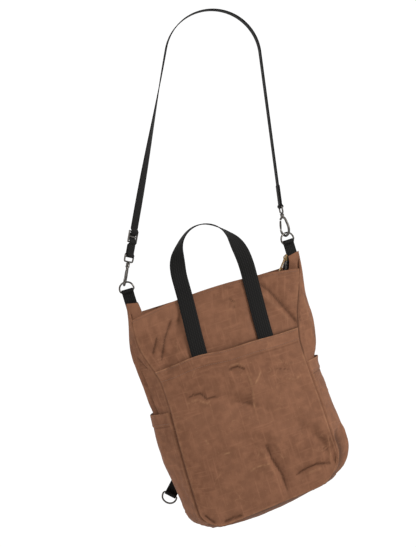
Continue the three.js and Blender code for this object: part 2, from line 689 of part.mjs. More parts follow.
function strapGeometry() {
  const { left, right } = strapEnds;
  const leftTurn = crownTouch(left.bar, -1);
  const rightTurn = crownTouch(right.bar, 1);
  const onCrown = (turn) => vec(crownLine * Math.cos(turn), 0, crownLine * Math.sin(turn)).add(crownMiddle);
  const stations = [];
  const push = (place, along, side) => {
    const face = along.clone().cross(side).normalize();
    stations.push({ place, side: side.clone(), face });
  };
  const leftTop = onCrown(leftTurn);
  const leftRun = leftTop.clone().sub(left.bar);
  const leftLong = leftRun.length();
  leftRun.normalize();
  const leftPlace = (s) => left.bar.clone().addScaledVector(leftRun, s);
  const sideAlong = (s) => left.eye.x.clone().lerp(BACK, smoothstep(s, 70, leftLong)).normalize();
  const slideSteps = steps(-1.5 * SLIDE.wave, 1.5 * SLIDE.wave, 18).map((d) => STRAP.slideAt + d);
  for (const s of [6, ...slideSteps, ...steps(60, leftLong, 9)]) {
    const d = s - STRAP.slideAt;
    const inside = Math.abs(d) < 1.5 * SLIDE.wave;
    const reach = SLIDE.thick / 2 + GAP + WEBBING / 2;
    const wave = inside ? reach * Math.cos((Math.PI * d) / SLIDE.wave) : 0;
    const side = sideAlong(s);
    const face = leftRun.clone().cross(side).normalize();
    push(leftPlace(s).addScaledVector(face, wave), leftRun, side);
  }
  for (const turn of steps(leftTurn < 0 ? leftTurn + 2 * Math.PI : leftTurn, rightTurn, 18).slice(1, -1)) {
    push(onCrown(turn), vec(Math.sin(turn), 0, -Math.cos(turn)), BACK);
  }
  const rightTop = onCrown(rightTurn);
  const rightRun = right.bar.clone().sub(rightTop);
  const rightLong = rightRun.length();
  rightRun.normalize();
  for (const s of steps(0, rightLong - 6, 4)) {
    push(rightTop.clone().addScaledVector(rightRun, s), rightRun, BACK);
  }
  const band = ribbon(stations, STRAP.width, WEBBING);
  const loops = [
    { end: left, run: leftRun.clone().negate(), stem: STRAP.slideAt - SLIDE.length / 2 - 3 },
    { end: right, run: rightRun, stem: STRAP.rightStem },
  ].map(({ end, run, stem }) => {
    const x = end.eye.x;
    const start = end.bar.clone().addScaledVector(run, -stem);
    return placed(foldedTab(stem, STRAP.width, 1.4), run.clone().cross(x).normalize(), run, x, start);
  });
  return { geometry: joined(band, ...loops), leftPlace, leftRun, side: left.eye.x };
}
const strap = strapGeometry();
addMesh("shoulder_strap", strap.geometry, COLOURS.webbing);

// Slide on the left leg: a plate with two slots
function slideGeometry() {
  const { width, length, thick, bar } = SLIDE;
  const plate = new THREE.BoxGeometry(width, length, thick, 1, 1, 1);
  const slotLong = (length - 3 * bar) / 2;
  const slots = [-1, 1].map((sign) => {
    const slot = new THREE.BoxGeometry(STRAP.width + 1.6, slotLong, thick + 2);
    return slot.translate(0, (sign * (bar + slotLong)) / 2, 0);
  });
  return cut(plate, ...slots);
}
const slideX = strap.side.clone().normalize();
const slideZ = slideX.clone().cross(strap.leftRun).normalize();
addMesh("strap_slide", placed(slideGeometry(), slideX, strap.leftRun, slideZ, strap.leftPlace(STRAP.slideAt)),
  COLOURS.gunmetal, 0.8);

// Zip slider and pull at the right end
const sliderAt = 0.962;
function sliderGeometry() {
  const plan = new THREE.Shape();
  plan.moveTo(-4.6, -3.2);
  plan.lineTo(3.4, -4.4);
  plan.quadraticCurveTo(5.4, -4.2, 5.4, -2);
  plan.lineTo(5.4, 2);
  plan.quadraticCurveTo(5.4, 4.2, 3.4, 4.4);
  plan.lineTo(-4.6, 3.2);
  plan.closePath();
  const plate = new THREE.ExtrudeGeometry(plan, { depth: 1.3, bevelEnabled: false, curveSegments: 4 });
  plate.translate(0, 0, 1.1 + GAP);
  const arch = [[-3.4, 2], [-2.6, 5.1], [0, 6.1], [2.6, 5.1], [3.4, 2]];
  const bridge = wireRod(arch.map(([x, z]) => vec(x, 0, z)), 0.9, 8);
  return joined(plate, bridge);
}

// The pull's end bar lies across the origin, under the bridge, and the pull runs along -y
function pullGeometry() {
  const { half, bar, slot, length, thick } = PULL;
  const outline = new THREE.Shape();
  outline.moveTo(-2.6, -slot);
  outline.lineTo(-half, -length + half);
  outline.absarc(0, -length + half, half, Math.PI, 2 * Math.PI, false);
  outline.lineTo(2.6, -slot);
  outline.lineTo(2.6, bar);
  outline.lineTo(-2.6, bar);
  outline.closePath();
  const opening = (wide, from, to) => {
    const path = new THREE.Path();
    path.moveTo(-wide, from);
    path.lineTo(wide, from);
    path.lineTo(wide, to + wide);
    path.absarc(0, to + wide, wide, 0, -Math.PI, true);
    path.closePath();
    return path;
  };
  outline.holes.push(opening(1.6, -bar, -slot), opening(1.8, -slot - 2, -length + 1.8));
  const run = { depth: thick, bevelEnabled: false, curveSegments: 5 };
  const geometry = new THREE.ExtrudeGeometry(outline, run);
  return geometry.translate(0, 0, -thick / 2);
}

const sliderFrame = zipFrame(sliderAt);
const slider = { x: sliderFrame.along, y: sliderFrame.side, z: sliderFrame.face };
const sliderSolid = placed(sliderGeometry(), slider.x, slider.y, slider.z, sliderFrame.place);
addBagMesh("zip_slider", sliderSolid, COLOURS.brass, 0.8);
const pullAt = sliderFrame.place.clone().addScaledVector(slider.z, PULL.lift);
const pullTurn = -degToRad(PULL.raisedDeg);
const pullAlong = slider.x.clone().applyAxisAngle(slider.y, -pullTurn);
const pullFace = slider.z.clone().applyAxisAngle(slider.y, -pullTurn);
const pullSolid = placed(pullGeometry(), slider.y.clone().negate(), pullAlong, pullFace, pullAt);
addBagMesh("zip_pull", pullSolid, COLOURS.brass, 0.8);

// Lower tabs on the back, each with a ring that hangs from its fold
for (const name of ["left", "right"]) {
  const { length, barX, barZ, turnDeg } = LOWER_TAB[name];
  const turn = degToRad(turnDeg);
  const down = vec(Math.sign(barX) * Math.sin(turn), 0, -Math.cos(turn));
  const bar = vec(barX, 0, barZ);
  const root = bar.clone().addScaledVector(down, -length);
  const inner = Math.max(...[-1, 0, 1].map((k) => {
    const share = (root.x + (k * LOWER_TAB.width) / 2) / lowSeam;
    return backPoint(clamp(share, -1, 1), root.z).y;
  }));
  const y = inner + 2 * GAP + WEBBING;
  root.setY(y);
  bar.setY(y);
  const across = BACK.clone().cross(down).normalize();
  const tab = foldedTab(length, LOWER_TAB.width, RING.wire);
  const tabSolid = placed(tab, BACK.clone().negate(), down, across.clone().negate(), root);
  addBagMesh(`lower_tab_${name}`, tabSolid, COLOURS.webbing);
  const ring = dRing(RING.wire, RING.inner, RING.height);
  addBagMesh(`lower_ring_${name}`, placed(ring, across, BACK, down, bar), COLOURS.gunmetal, 0.8);
}

export default group;
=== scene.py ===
"""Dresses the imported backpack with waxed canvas, webbing, a metal zip and dark fittings."""

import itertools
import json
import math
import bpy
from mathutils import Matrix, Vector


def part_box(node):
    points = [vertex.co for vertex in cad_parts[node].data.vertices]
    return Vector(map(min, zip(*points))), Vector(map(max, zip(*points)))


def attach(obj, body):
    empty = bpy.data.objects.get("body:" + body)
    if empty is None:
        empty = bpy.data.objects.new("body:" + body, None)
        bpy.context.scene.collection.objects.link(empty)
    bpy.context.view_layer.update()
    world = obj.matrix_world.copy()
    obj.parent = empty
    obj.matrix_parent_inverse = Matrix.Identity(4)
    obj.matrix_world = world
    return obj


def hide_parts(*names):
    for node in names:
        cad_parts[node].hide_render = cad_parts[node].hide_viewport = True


bl_info = {
    "name": "Waxed Canvas Backpack",
    "version": (1, 0, 0),
    "blender": (4, 5, 0),
    "location": "View3D > Sidebar > Backpack",
    "description": "Models the cloth, webbing, zip and fittings of a hanging canvas backpack",
    "category": "Add Mesh",
}

import bmesh
import bpy
import numpy as np
from mathutils import Matrix, Quaternion, Vector, noise

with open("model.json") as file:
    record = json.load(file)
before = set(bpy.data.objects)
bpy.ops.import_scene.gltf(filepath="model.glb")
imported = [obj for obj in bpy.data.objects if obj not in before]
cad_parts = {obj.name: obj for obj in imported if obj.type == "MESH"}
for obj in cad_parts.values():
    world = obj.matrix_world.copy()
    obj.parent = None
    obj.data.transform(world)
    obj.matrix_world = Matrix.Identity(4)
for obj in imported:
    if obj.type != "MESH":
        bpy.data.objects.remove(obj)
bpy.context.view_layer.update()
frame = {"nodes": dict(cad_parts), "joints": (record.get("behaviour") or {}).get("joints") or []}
JOINTS = {joint["name"]: joint for joint in frame["joints"]}
BAG = "bag"
MM = 0.001
WELD = 2e-6
CLOTH_ANGLE, METAL_ANGLE, SOFT_EDGE_ANGLE = math.radians(50), math.radians(40), math.radians(35)
FLAT_ANGLE, EDGE_ANGLE = math.radians(2), math.radians(32)

# How the bag hangs. Its tables are in millimetres in its own upright frame:
# height 0 at the bottom, depth 0 in the middle, the front toward -y.
TILT = math.radians(17)
ORIGIN = np.array((95.5, 0.0, -800.5))
CANVAS = 1.5
GAP = 0.4
CORNER_SPLIT = math.pi / 4
BAND_DEPTH = 104.0

# Seams: inset of the sides, radius of the roll, depth of the groove and closer mesh steps beside it
SEAM_INSET, SEAM_ROLL, SEAM_DIP = 0.4, 2.5, 1.7
EDGE_STEPS = (0.0, 0.2, 0.55, 1.1, 1.8)
SEWN_SPAN = (2, 24)

# Pale wear and painted shade of seams, hems, base and pleats. The right front seam's painted shade
# is deep between two heights, and the painted shadow on the panel above the front hem is darker at the right.
SEAM_SHADE, SEAM_PALE, SEAM_PALE_WIDTH = 1.5, 0.35, 1.1
GROOVE_WIDEN, GROOVE_POWER = 0.8, 1.4
HEM_PALE, HEM_PALE_WIDTH = 0.35, 1.6
BASE_SHADE, BASE_SHADE_WIDTH = 1.5, 7.0
PLEAT_SHADE, PLEAT_SHADE_SPAN = 0.9, (0.2, 0.9)
RIGHT_SHADE, RIGHT_SHADE_LOW, RIGHT_SHADE_HIGH = (0.35, 2.4), (212, 240), (318, 345)
HEM_SHADE, HEM_SHADE_SPAN, HEM_SHADE_WIDTH = (0.35, 0.95), (-0.3, 0.4), 2.4

# Hems: radius of the fold, height, extra thickness, and half height of the hard and the soft step.
# The front hem's waves are rise, place across and half width.
HEM_ROLL, HEM_HEIGHT, HEM_EXTRA, HEM_STEP, HEM_SOFT = 1.5, 20.0, 1.2, 0.9, 6.0
HEM_SOFT_SPAN = (-0.4, 0.15)
HEM_STITCH, EDGE_STITCH, TOP_STITCH = 2, 2.5, 4
HEM_WAVES = ((6.5, -0.42, 0.34), (2.5, 0.3, 0.3))

# Top edges, the rise of the side peaks, the shift of the top to the right, the heights
# between which the rows are level, and how far the base stands out
FRONT_TOP, CORNER_TOP, BACK_TOP = 371.0, 358.0, 366.0
PEAK_RISE, PEAK_FROM, PEAK_POWER = 26.0, 318.0, 0.8
TOP_SHIFT, SHIFT_SPAN = 16.5, (290, 386)
LEVEL_LOW, LEVEL_HIGH = 110.0, 300.0
BASE_OUT, BASE_BULGE, BASE_TURN = 8.0, 8.0, 1.5

# How round the swell of the front and of the sides is, and how far from the seams
# the main folds, and the fine creases and wrinkles, have their whole height
SWELL_POWER, BAND_POWER = 2.6, 1.7
FOLD_SHARE, FOLD_SIDE, FOLD_END = 0.62, 0.2, 26
FINE_SIDE, FINE_END, FINE_BAND = 0.06, 10, 0.08
CORNER_STEPS = 14

# Creases: fading at the ends, falloff by form, and width of the pale wear line and of the painted shade line
CREASE_TAPER, CREASE_POWERS = (-0.05, 0.22), {1: 1.25, 2: 2}
CREASE_LINE, CREASE_DARK = 1.5, 0.6

# Wrinkles: scales in millimetres and shares of soft waves and sharp ridges, where the ridges
# show, and facets as share, offset and cell. Offsets keep the noise of the pieces apart.
WAVE_SCALE, WAVE_SHARE, RIDGE_SCALE, RIDGE_SHARE, RIDGE_NARROW = 46.0, 0.8, 38.0, 1.1, 3.2
RIDGE_OFFSET, RIDGE_PLACE_OFFSET, RIDGE_PLACE_SCALE, RIDGE_PLACES = 300.0, 900.0, 60.0, (0.0, 0.35)
FACETS = ((0.75, 40.0, 44.0), (0.35, 700.0, 21.0))
BACK_OFFSET, BAND_OFFSET, BACK_WRINKLES = 500.0, 400, 1.2

# Wear and painted shade: bends that turn pale with wear, bends that are darkened as painted shade, and how
# pale ridges and creases become
RIDGE_BEND, VALLEY_SHADE_BEND, RIDGE_PALE, CREASE_PALE = (0.08, 0.36), (0.05, 0.30), 0.35, 0.8

# Height, half width of the front seam, depth of the front and back seams,
# how far each side stands out, and the swell of front and back
SIDE_COLUMNS = ("seam", "front", "back", "out_left", "out_right", "swell", "back_swell")
SIDE = np.array([
    (0, 119, -54, 50, 7, 26, 5, 3),
    (82, 119, -54, 51, 17, 28, 11, 4),
    (140, 118, -53, 49, 24, 23, 13, 5),
    (205, 115, -50, 46, 24, 22, 13, 5),
    (217, 115, -48.5, 45, 25, 25.5, 12.5, 5),
    (232, 115, -46.7, 43.8, 26, 34.5, 12, 5),
    (254, 116, -44, 42, 26, 38, 12, 5),
    (284, 124, -36, 36, 20, 31, 11, 5),
    (318, 135, -24, 27, 11, 17, 10, 6),
    (358, 142, -11, 15, 3, 5, 9, 8),
    (390, 144, -8, 12, 0, 2, 9, 8),
], float)
LOW_SEAM = SIDE[0, 1]

# Lower corners of the front seam: side, radius and height
CORNERS = {"left": (-1, 36.0, 9.0), "right": (1, 52.0, 20.0)}

# Main folds of the front: from (x, z), to (x, z), half width and rise
MAIN_FOLDS = (
    (92, 350, 122, 276, 9, -3),
    (-65, 334, -100, 276, 11, -8),
    (-8, 246, 22, 236, 9, -3),
    (24, 232, 20, 170, 9, 3.5),
    (-56, 216, 2, 185, 11, -4.5),
    (2, 185, 105, 86, 18, -7),
    (-42, 193, -38, 97, 16, 5),
    (14, 106, 29, 26, 10, -6),
    (50, 53, 108, 52, 9, -5),
    (110, 84, 112, 62, 11, -7),
)

# Fine creases of the front: route (x, z), half width, rise, form (1 sharp, 2 soft) and paleness, which is
# pale wear above 0 and painted shade below 0
FRONT_CREASES = (
    (((80, 359), (95, 339), (107, 312), (118, 286), (126, 266)), 4.4, -3.8, 1, -0.75),
    (((72, 352), (88, 330), (101, 303), (112, 280)), 7, 2.4, 2, 0.35),
    (((-66, 345), (-88, 316), (-104, 284)), 4, -4.2, 1, -0.6),
    (((-99, 322), (-114, 297)), 3.5, -3.5, 1, -0.6),
    (((-80, 330), (-98, 298)), 5, 2.2, 2, 0.4),
    (((23, 341), (15, 295)), 8, 1.4, 2, 0.25),
    (((28, 350), (36, 337), (30, 326)), 2.5, -0.9, 1, 0.2),
    (((-110, 262), (-92, 266), (-60, 262)), 5, -2.2, 2, 0.0),
    (((-88, 217), (-74, 221), (-62, 219), (-56, 209), (-33, 207)), 3, -2.6, 1, -0.35),
    (((-90, 211), (-70, 212), (-58, 203), (-50, 205)), 2.2, 1.6, 1, 1.0),
    (((-12, 242), (5, 243), (17, 234)), 2.4, -2.2, 1, -0.4),
    (((-10, 247), (6, 247), (20, 238)), 2.2, 1.2, 1, 0.5),
    (((17, 234), (17, 205), (13, 182), (10, 157)), 2.4, 1.3, 1, 0.7),
    (((38, 226), (30, 216), (22, 209)), 2.2, 1.1, 1, 0.8),
    (((-20, 196), (8, 181), (40, 160)), 5, -1.5, 2, 0.0),
    (((65, 136), (88, 110), (108, 80)), 9, -2.4, 2, 0.0),
    (((38, 112), (12, 92), (-5, 70)), 9, 2.2, 2, 0.2),
    (((117, 96), (116, 70), (109, 44)), 5, -3.0, 2, 0.0),
    (((113, 100), (110, 72), (104, 48)), 3, 1.8, 1, 0.6),
    (((106, 51), (81, 57), (59, 55), (42, 50)), 2.6, -3.2, 1, -0.7),
    (((104, 46), (80, 50), (58, 47)), 4, 1.8, 2, 0.45),
    (((12, 118), (15, 89), (24, 59), (25, 26)), 3.5, -2.6, 1, -0.5),
    (((4, 112), (7, 86), (15, 58)), 4, 1.4, 2, 0.35),
    (((-26, 78), (-14, 84), (14, 81)), 1.8, 0.9, 1, 0.8),
    (((-88, 13), (-70, 17), (-52, 15)), 4.5, -3.5, 2, -0.5),
    (((-112, 36), (-105, 25), (-98, 16)), 2.6, -3.2, 1, -1.0),
    (((-60, 120), (-44, 118)), 1.8, 0.8, 1, 0.8),
    (((-78, 152), (-74, 140)), 1.6, 0.7, 1, 0.6),
    (((70, 205), (86, 196), (104, 200)), 2.4, 0.9, 1, 0.45),
    (((60, 222), (84, 214)), 2.4, -0.9, 1, 0.0),
)

# Pleat of each side: depth, heights, place across the side and half width
PLEATS = {"left": (18.0, 145.0, 330.0, 0.71, 0.115), "right": (8.0, 140.0, 290.0, 0.64, 0.15)}
PLEAT_LIP, PLEAT_START, PLEAT_END, PLEAT_POWER = 0.4, 22, 60, 1.5

# Creases of each side: route (share of the depth from the back, z), then as for the front.
# Those of a pocket also press into the side behind it, and the base has x in place of z.
SIDE_CREASES = {
    "left": (
        (((0.66, 320), (0.70, 260), (0.71, 206)), 3.5, 2.4, 1, 0.5),
        (((0.30, 300), (0.26, 230)), 6, 2.0, 2, 0.3),
        (((0.80, 300), (0.92, 276)), 3, -2.0, 1, 0.0),
    ),
    "right": (
        (((0.93, 318), (0.90, 300), (0.95, 276)), 3.0, -4.2, 1, 0.0),
        (((0.84, 322), (0.78, 280), (0.80, 236)), 5, 2.2, 2, 0.4),
        (((0.62, 360), (0.70, 345), (0.90, 352)), 3, -2.0, 1, 0.1),
    ),
    "pocket_left": (
        (((0.62, 190), (0.66, 150), (0.62, 100)), 7, 1.6, 2, 0.15),
        (((0.88, 120), (0.80, 84), (0.86, 50)), 6, -1.6, 2, 0.0),
    ),
    "pocket_right": (
        (((0.95, 96), (0.82, 76), (0.78, 56), (0.90, 34)), 18, -8.0, 2, -1.0),
        (((0.64, 104), (0.56, 72), (0.62, 42)), 5, 2.5, 2, 0.6),
    ),
    "base": (
        (((0.91, -88), (0.86, -68), (0.91, -48)), 7, -5.0, 2, -0.9),
    ),
}

# Pockets: height of the hem and how far the mouth stands open, from where the front one opens,
# how far down its hem's waves reach, and how the side ones leave the seam, in gaps and millimetres
FRONT_POCKET = {"hem": 271.0, "stand_off": 1.0, "mouth_gap": 10.0}
SIDE_POCKETS = {"left": (205.0, 1.0), "right": (216.0, 0.8)}
POCKET_OPENS, HEM_WAVE_REACH = 40, 80
POCKET_GAPS, POCKET_LEAVES = 3.5, (-2, 14)

# Rough lengths in millimetres, which set how many cells a piece has
SIDE_LENGTH, SIDE_ACROSS, BASE_ACROSS, POCKET_ACROSS, FACING_LENGTH = 320, 120, 75, 110, 280
BACK_COARSE = 1.6

# Zip: half length, low and high height, where its ends rise and how far they turn
ZIP_HALF, ZIP_Z, ZIP_END_Z, ZIP_END_Y = 131.0, 351.0, 394.0, -3.0
ZIP_RISE_FROM, ZIP_END_TURN, ZIP_END = 0.9, math.radians(40), 0.966
ZIP_FRONT_EDGE, ZIP_BACK_EDGE, TAPE_THICK = 6.2, 6.8, 0.8

# The right end below the slider turns its face to the front between these heights
ZIP_TWIST, ZIP_LEAN = math.radians(52), -2.0
TWIST_LOW, TWIST_HIGH = (352.5, 360.0), (371.0, 376.5)

# Top facings: where their ends reach, in millimetres and in shares of the width
FACING_ENDS, FACING_RISE, FACING_BACK = (144.0, 146.3), 3.5, 4.0
FACING_SPAN, FACING_REACH = 0.985, 1.014
FACING_GAPS, FACING_DROP = 5, 0.6
FACING_STEPS = np.linspace(0.01, 0.08, 8)

# Zip teeth: half length as a share of the pitch, half width and height, shift of each row from
# the middle, narrowing toward the tape and rounding of the edges, then that of slider and pull
TOOTH_LENGTH, TOOTH_HALF, TOOTH_SHIFT, TOOTH_NECK = 0.31, (0.00125, 0.00098), 0.0009, 0.72
TOOTH_EDGE, ZIP_EDGE = 0.00012, 0.00022

# Snap hooks: places along their axis in millimetres and how the eyes are turned,
# then how thin the ends are and the steps of the mesh in metres
HOOK_LINE = (
    (-4.6, 24.6), (-3, 27), (0, 28), (3, 26.8), (5.6, 20), (7.3, 10), (5.6, 2),
    (0, -2.1), (-5.4, 1.4), (-7.2, 7), (-7.3, 8.6),
)
GATE_LINE = ((-7.2, 9.1), (-6.3, 16), (-4.9, 23.4))
GATE_PIVOT = (-5.0, 21.6)
BARREL = (26.5, 34.0, 3.6)
EYE_LOW, EYE_BAR, EYE_MARGIN = 35.8, 46.0, 2.2
EYE_YAW = {"left": math.radians(52), "right": math.radians(90)}
HOOK_THIN, HOOK_POWER, GATE_THIN, GATE_WIRE = 0.82, 0.6, 0.78, 0.0018
HOOK_STEP, GATE_STEP, LATHE_SIDES = 0.0012, 0.0008, 24

# Shoulder strap: its crown, the slide with the webbing's wave through it, and the folded ends
CROWN_RADIUS = 76.0
SLIDE_AT, SLIDE_WAVE, SLIDE_THICK = 30.0, 8.5, 2.4
SLIDE_EDGE = 0.0006
STRAP_STEMS = {"left": 17.3, "right": 34.0}

# Spacing of the strap's stations in metres: close up to the slide and wider above it
STRAP_START, STRAP_CLOSE, STRAP_CLOSE_TO, STRAP_STEP, STRAP_TURN_FROM = 0.008, 0.0012, 0.06, 0.004, 0.07
CROWN_STEPS = 70

# Lengths of the tabs, their rows of stitches below the ring's bar and the slit between the
# layers, in metres, and how much a ring is thickened as a share of its wire
TOP_TAB = 0.029
LOWER_TABS = {"left": 0.060, "right": 0.052}
TAB_STITCHES, TAB_STITCH_INSET = (0.0055, 0.0085), 0.002
HAIR = 0.00005
RING_FATTEN = 0.17

# Photo view
CAMERA_AZIMUTH = math.radians(-8)
CAMERA_AIM = Vector((-0.008, 0.0, -0.421))
CAMERA_DISTANCE = 2.8
CAMERA_LENS = 115.2
SENSOR_WIDTH, CAMERA_FAR = 36.0, 100.0

# Stage: the floor, then each light's place, size and power, and the world's strength from the
# left to the right of the camera and behind the object
FLOOR_Z, FLOOR_SIZE, FLOOR_ROUGH = -1.7, 7.0, 0.8
FLOOR_TONES = (0.80, 0.80, 0.80), (0.86, 0.86, 0.86)
LIGHTS = {"key": ((1.7, -1.7, 0.9), 0.9, 67.0), "fill": ((-2.4, -0.6, -0.3), 1.4, 25.0)}
WORLD_SIDES, WORLD_SPAN, WORLD_BEHIND, WORLD_TURN = (0.41, 0.57), (-0.8, 0.8), 1.05, (-0.2, 0.75)


def length_property(name, text, default):
    return bpy.props.FloatProperty(name=name, description=text, default=default, unit="LENGTH")


class BackpackSizes(bpy.types.PropertyGroup):
    """Sizes that a user would change."""

    cell: length_property("Cloth cell", "Mesh spacing of the cloth", 0.0021)
    webbing: length_property("Webbing thickness", "Thickness of the webbing", 0.0017)
    strap_width: length_property("Strap width", "Width of the shoulder strap", 0.020)
    tab_width: length_property("Tab width", "Width of the ring tabs", 0.0194)
    handle_width: length_property("Handle width", "Width of the handle webbing", 0.0254)
    ring_wire: length_property("Ring wire", "Radius of the ring wire", 0.0015)
    hook_wire: length_property("Hook wire", "Radius of the hook body", 0.0021)
    eye_wire: length_property("Eye wire", "Radius of the swivel eye", 0.0014)
    stitch: length_property("Stitch", "Length of one stitch", 0.0030)
    thread: length_property("Thread", "Radius of the sewing thread", 0.00038)
    tooth_pitch: length_property("Tooth pitch", "Distance between zip teeth", 0.0019)
    wrinkle: length_property("Wrinkles", "Height of the small wrinkles", 0.0008)


def colour_property(name, text, default):
    return bpy.props.FloatVectorProperty(
        name=name, description=text, default=default, size=3, min=0, max=1, subtype="COLOR")


class BackpackColours(bpy.types.PropertyGroup):
    """Colours of the finishes."""

    canvas: colour_property("Canvas", "Waxed canvas", (0.190, 0.087, 0.0495))
    canvas_dark: colour_property("Dark canvas", "Canvas in its darker patches", (0.148, 0.0655, 0.0365))
    canvas_pale: colour_property("Pale creases", "Wax that has turned pale on a crease", (0.36, 0.19, 0.10))
    webbing: colour_property("Webbing", "Black webbing", (0.0036, 0.0034, 0.0032))
    thread: colour_property("Thread", "Sewing thread", (0.15, 0.072, 0.042))
    gunmetal: colour_property("Gunmetal", "Plated fittings", (0.155, 0.142, 0.130))
    brass: colour_property("Brass", "Antique brass", (0.42, 0.27, 0.11))
    teeth: colour_property("Teeth", "Zip teeth", (0.30, 0.29, 0.27))


def sizes():
    return bpy.context.scene.backpack_sizes


def colours():
    return bpy.context.scene.backpack_colours


# Numbers and curves
def lerp(a, b, share):
    return a + (b - a) * share


def smooth(value, low, high):
    share = np.clip((np.asarray(value, float) - low) / (high - low), 0, 1)
    return share * share * (3 - 2 * share)


def through(at, knots, values):
    """A smooth curve through rows of values, read at many places."""
    knots = np.asarray(knots, float)
    values = np.asarray(values, float)
    steps = np.diff(values, axis=0) / np.diff(knots)[:, None]
    slopes = np.empty_like(values)
    slopes[1:-1] = (values[2:] - values[:-2]) / (knots[2:] - knots[:-2])[:, None]
    slopes[0] = 1.5 * steps[0] - 0.5 * slopes[1]
    slopes[-1] = 1.5 * steps[-1] - 0.5 * slopes[-2]
    at = np.asarray(at, float)
    k = np.clip(np.searchsorted(knots, at, "right") - 1, 0, len(knots) - 2)
    width = (knots[k + 1] - knots[k])[..., None]
    t = ((at - knots[k])[..., None]) / width
    a = (1 + 2 * t) * (1 - t) ** 2 * values[k] + t * (1 - t) ** 2 * width * slopes[k]
    b = t * t * (3 - 2 * t) * values[k + 1] + t * t * (t - 1) * width * slopes[k + 1]
    return a + b


def unit(vectors):
    return vectors / np.linalg.norm(vectors, axis=-1, keepdims=True)


def evened(points, spacing, closed=False):
    """Places at an even spacing along a smooth line through points."""
    points = np.asarray(points, float)
    if closed:
        points = np.vstack([points[-2:], points, points[:3]])
    run = np.concatenate([[0], np.cumsum(np.linalg.norm(np.diff(points, axis=0), axis=1))])
    first, last = (run[2], run[-3]) if closed else (run[0], run[-1])
    count = max(int(round((last - first) / spacing)), 2)
    at = np.linspace(first, last, count + 1)
    return through(at[:-1] if closed else at, run, points)


# The bag's own frame
def to_row(points):
    """Bag places in millimetres as row places in metres."""
    x, y, z = np.moveaxis(np.asarray(points, float), -1, 0)
    cos, sin = math.cos(TILT), math.sin(TILT)
    return (np.stack([x * cos - z * sin, y, x * sin + z * cos], -1) + ORIGIN) * MM


def from_row(points):
    """Row places in metres as bag places in millimetres."""
    x, y, z = np.moveaxis(np.asarray(points, float) / MM - ORIGIN, -1, 0)
    cos, sin = math.cos(TILT), math.sin(TILT)
    return np.stack([x * cos + z * sin, y, z * cos - x * sin], -1)


def turned(direction):
    """A bag direction as a row direction."""
    x, y, z = direction
    cos, sin = math.cos(TILT), math.sin(TILT)
    return Vector((x * cos - z * sin, y, x * sin + z * cos))


def side_at(z):
    """The side table at heights z, as a dictionary of arrays."""
    values = through(np.maximum(z, 0), SIDE[:, 0], SIDE[:, 1:])
    return {name: values[..., i] for i, name in enumerate(SIDE_COLUMNS)}


def shift_at(z):
    return TOP_SHIFT * smooth(z, *SHIFT_SPAN)


def corner_end(name):
    sign, radius, _ = CORNERS[name]
    return sign * (LOW_SEAM - radius)


def bottom_at(x):
    """Height of the lower run of the front seam."""
    x = np.asarray(x, float)
    left, right = corner_end("left"), corner_end("right")
    height = lerp(CORNERS["left"][2], CORNERS["right"][2], np.clip((x - left) / (right - left), 0, 1))
    for name, (sign, radius, _) in CORNERS.items():
        beyond = np.clip(sign * (x - corner_end(name)), 0, radius)
        height = height + radius - np.sqrt(radius ** 2 - beyond ** 2)
    return height


def row_height(x, row, top):
    low = lerp(bottom_at(x), LEVEL_LOW, row / LEVEL_LOW)
    high = lerp(LEVEL_HIGH, top, (row - LEVEL_HIGH) / (FRONT_TOP - LEVEL_HIGH))
    return np.where(row < LEVEL_LOW, low, np.where(row > LEVEL_HIGH, high, row))


# Folds and creases
def from_segment(x, z, a, b):
    """Distance of places to a stretch of line, and the share along it."""
    ax, az = a
    dx, dz = b[0] - ax, b[1] - az
    share = np.clip(((x - ax) * dx + (z - az) * dz) / (dx * dx + dz * dz), 0, 1)
    return np.hypot(x - ax - share * dx, z - az - share * dz), share


def main_folds(x, z):
    rise = np.zeros_like(x)
    for ax, az, bx, bz, half, height in MAIN_FOLDS:
        away, _ = from_segment(x, z, (ax, az), (bx, bz))
        rise += FOLD_SHARE * height * np.exp(-(away / half) ** 2)
    return rise


def rolled(distance, radius=SEAM_ROLL):
    """Quarter round of an edge: 0 at the edge and 1 from a radius inward."""
    return np.sqrt(1 - (1 - np.clip(np.asarray(distance, float) / radius, 0, 1)) ** 2)


def edged(low, high, count, close_low=True, close_high=True):
    """Even places between two ends, with closer ones beside the edges that are seams."""
    steps = np.array(EDGE_STEPS)
    places = [np.linspace(low + SEAM_ROLL * close_low, high - SEAM_ROLL * close_high, count)]
    if close_low:
        places.insert(0, low + steps)
    if close_high:
        places.append(high - steps[::-1])
    return np.concatenate(places)


def seam_wear_and_shade(inward, depth=1.0):
    """Paleness beside a seam: painted shade in its groove and pale wear on the roll next to it."""
    groove = (1 - rolled(inward / np.maximum(depth, 1) ** GROOVE_WIDEN)) ** GROOVE_POWER
    roll = np.exp(-((inward - SEAM_ROLL) / SEAM_PALE_WIDTH) ** 2)
    return SEAM_PALE * roll - SEAM_SHADE * depth * groove


def right_depth(z):
    """Depth of the right front seam's shade: deep above the side pocket and faint beside it."""
    return lerp(*RIGHT_SHADE, smooth(z, *RIGHT_SHADE_LOW) * (1 - smooth(z, *RIGHT_SHADE_HIGH)))


def free_edge(distance, thickness):
    """How far the outside of a folded edge turns in, and the thickness that is left."""
    left = np.maximum(rolled(distance, HEM_ROLL), 0.1)
    return thickness * (1 - left) / 2, thickness * left


def facets(places, cell):
    """Flat facets of crumpled cloth, about 0 to 1 high."""
    flat = places.reshape(-1, 3) / cell
    nearest = [noise.voronoi(Vector(p))[0] for p in flat]
    return np.array([d[1] - d[0] for d in nearest]).reshape(places.shape[:-1])


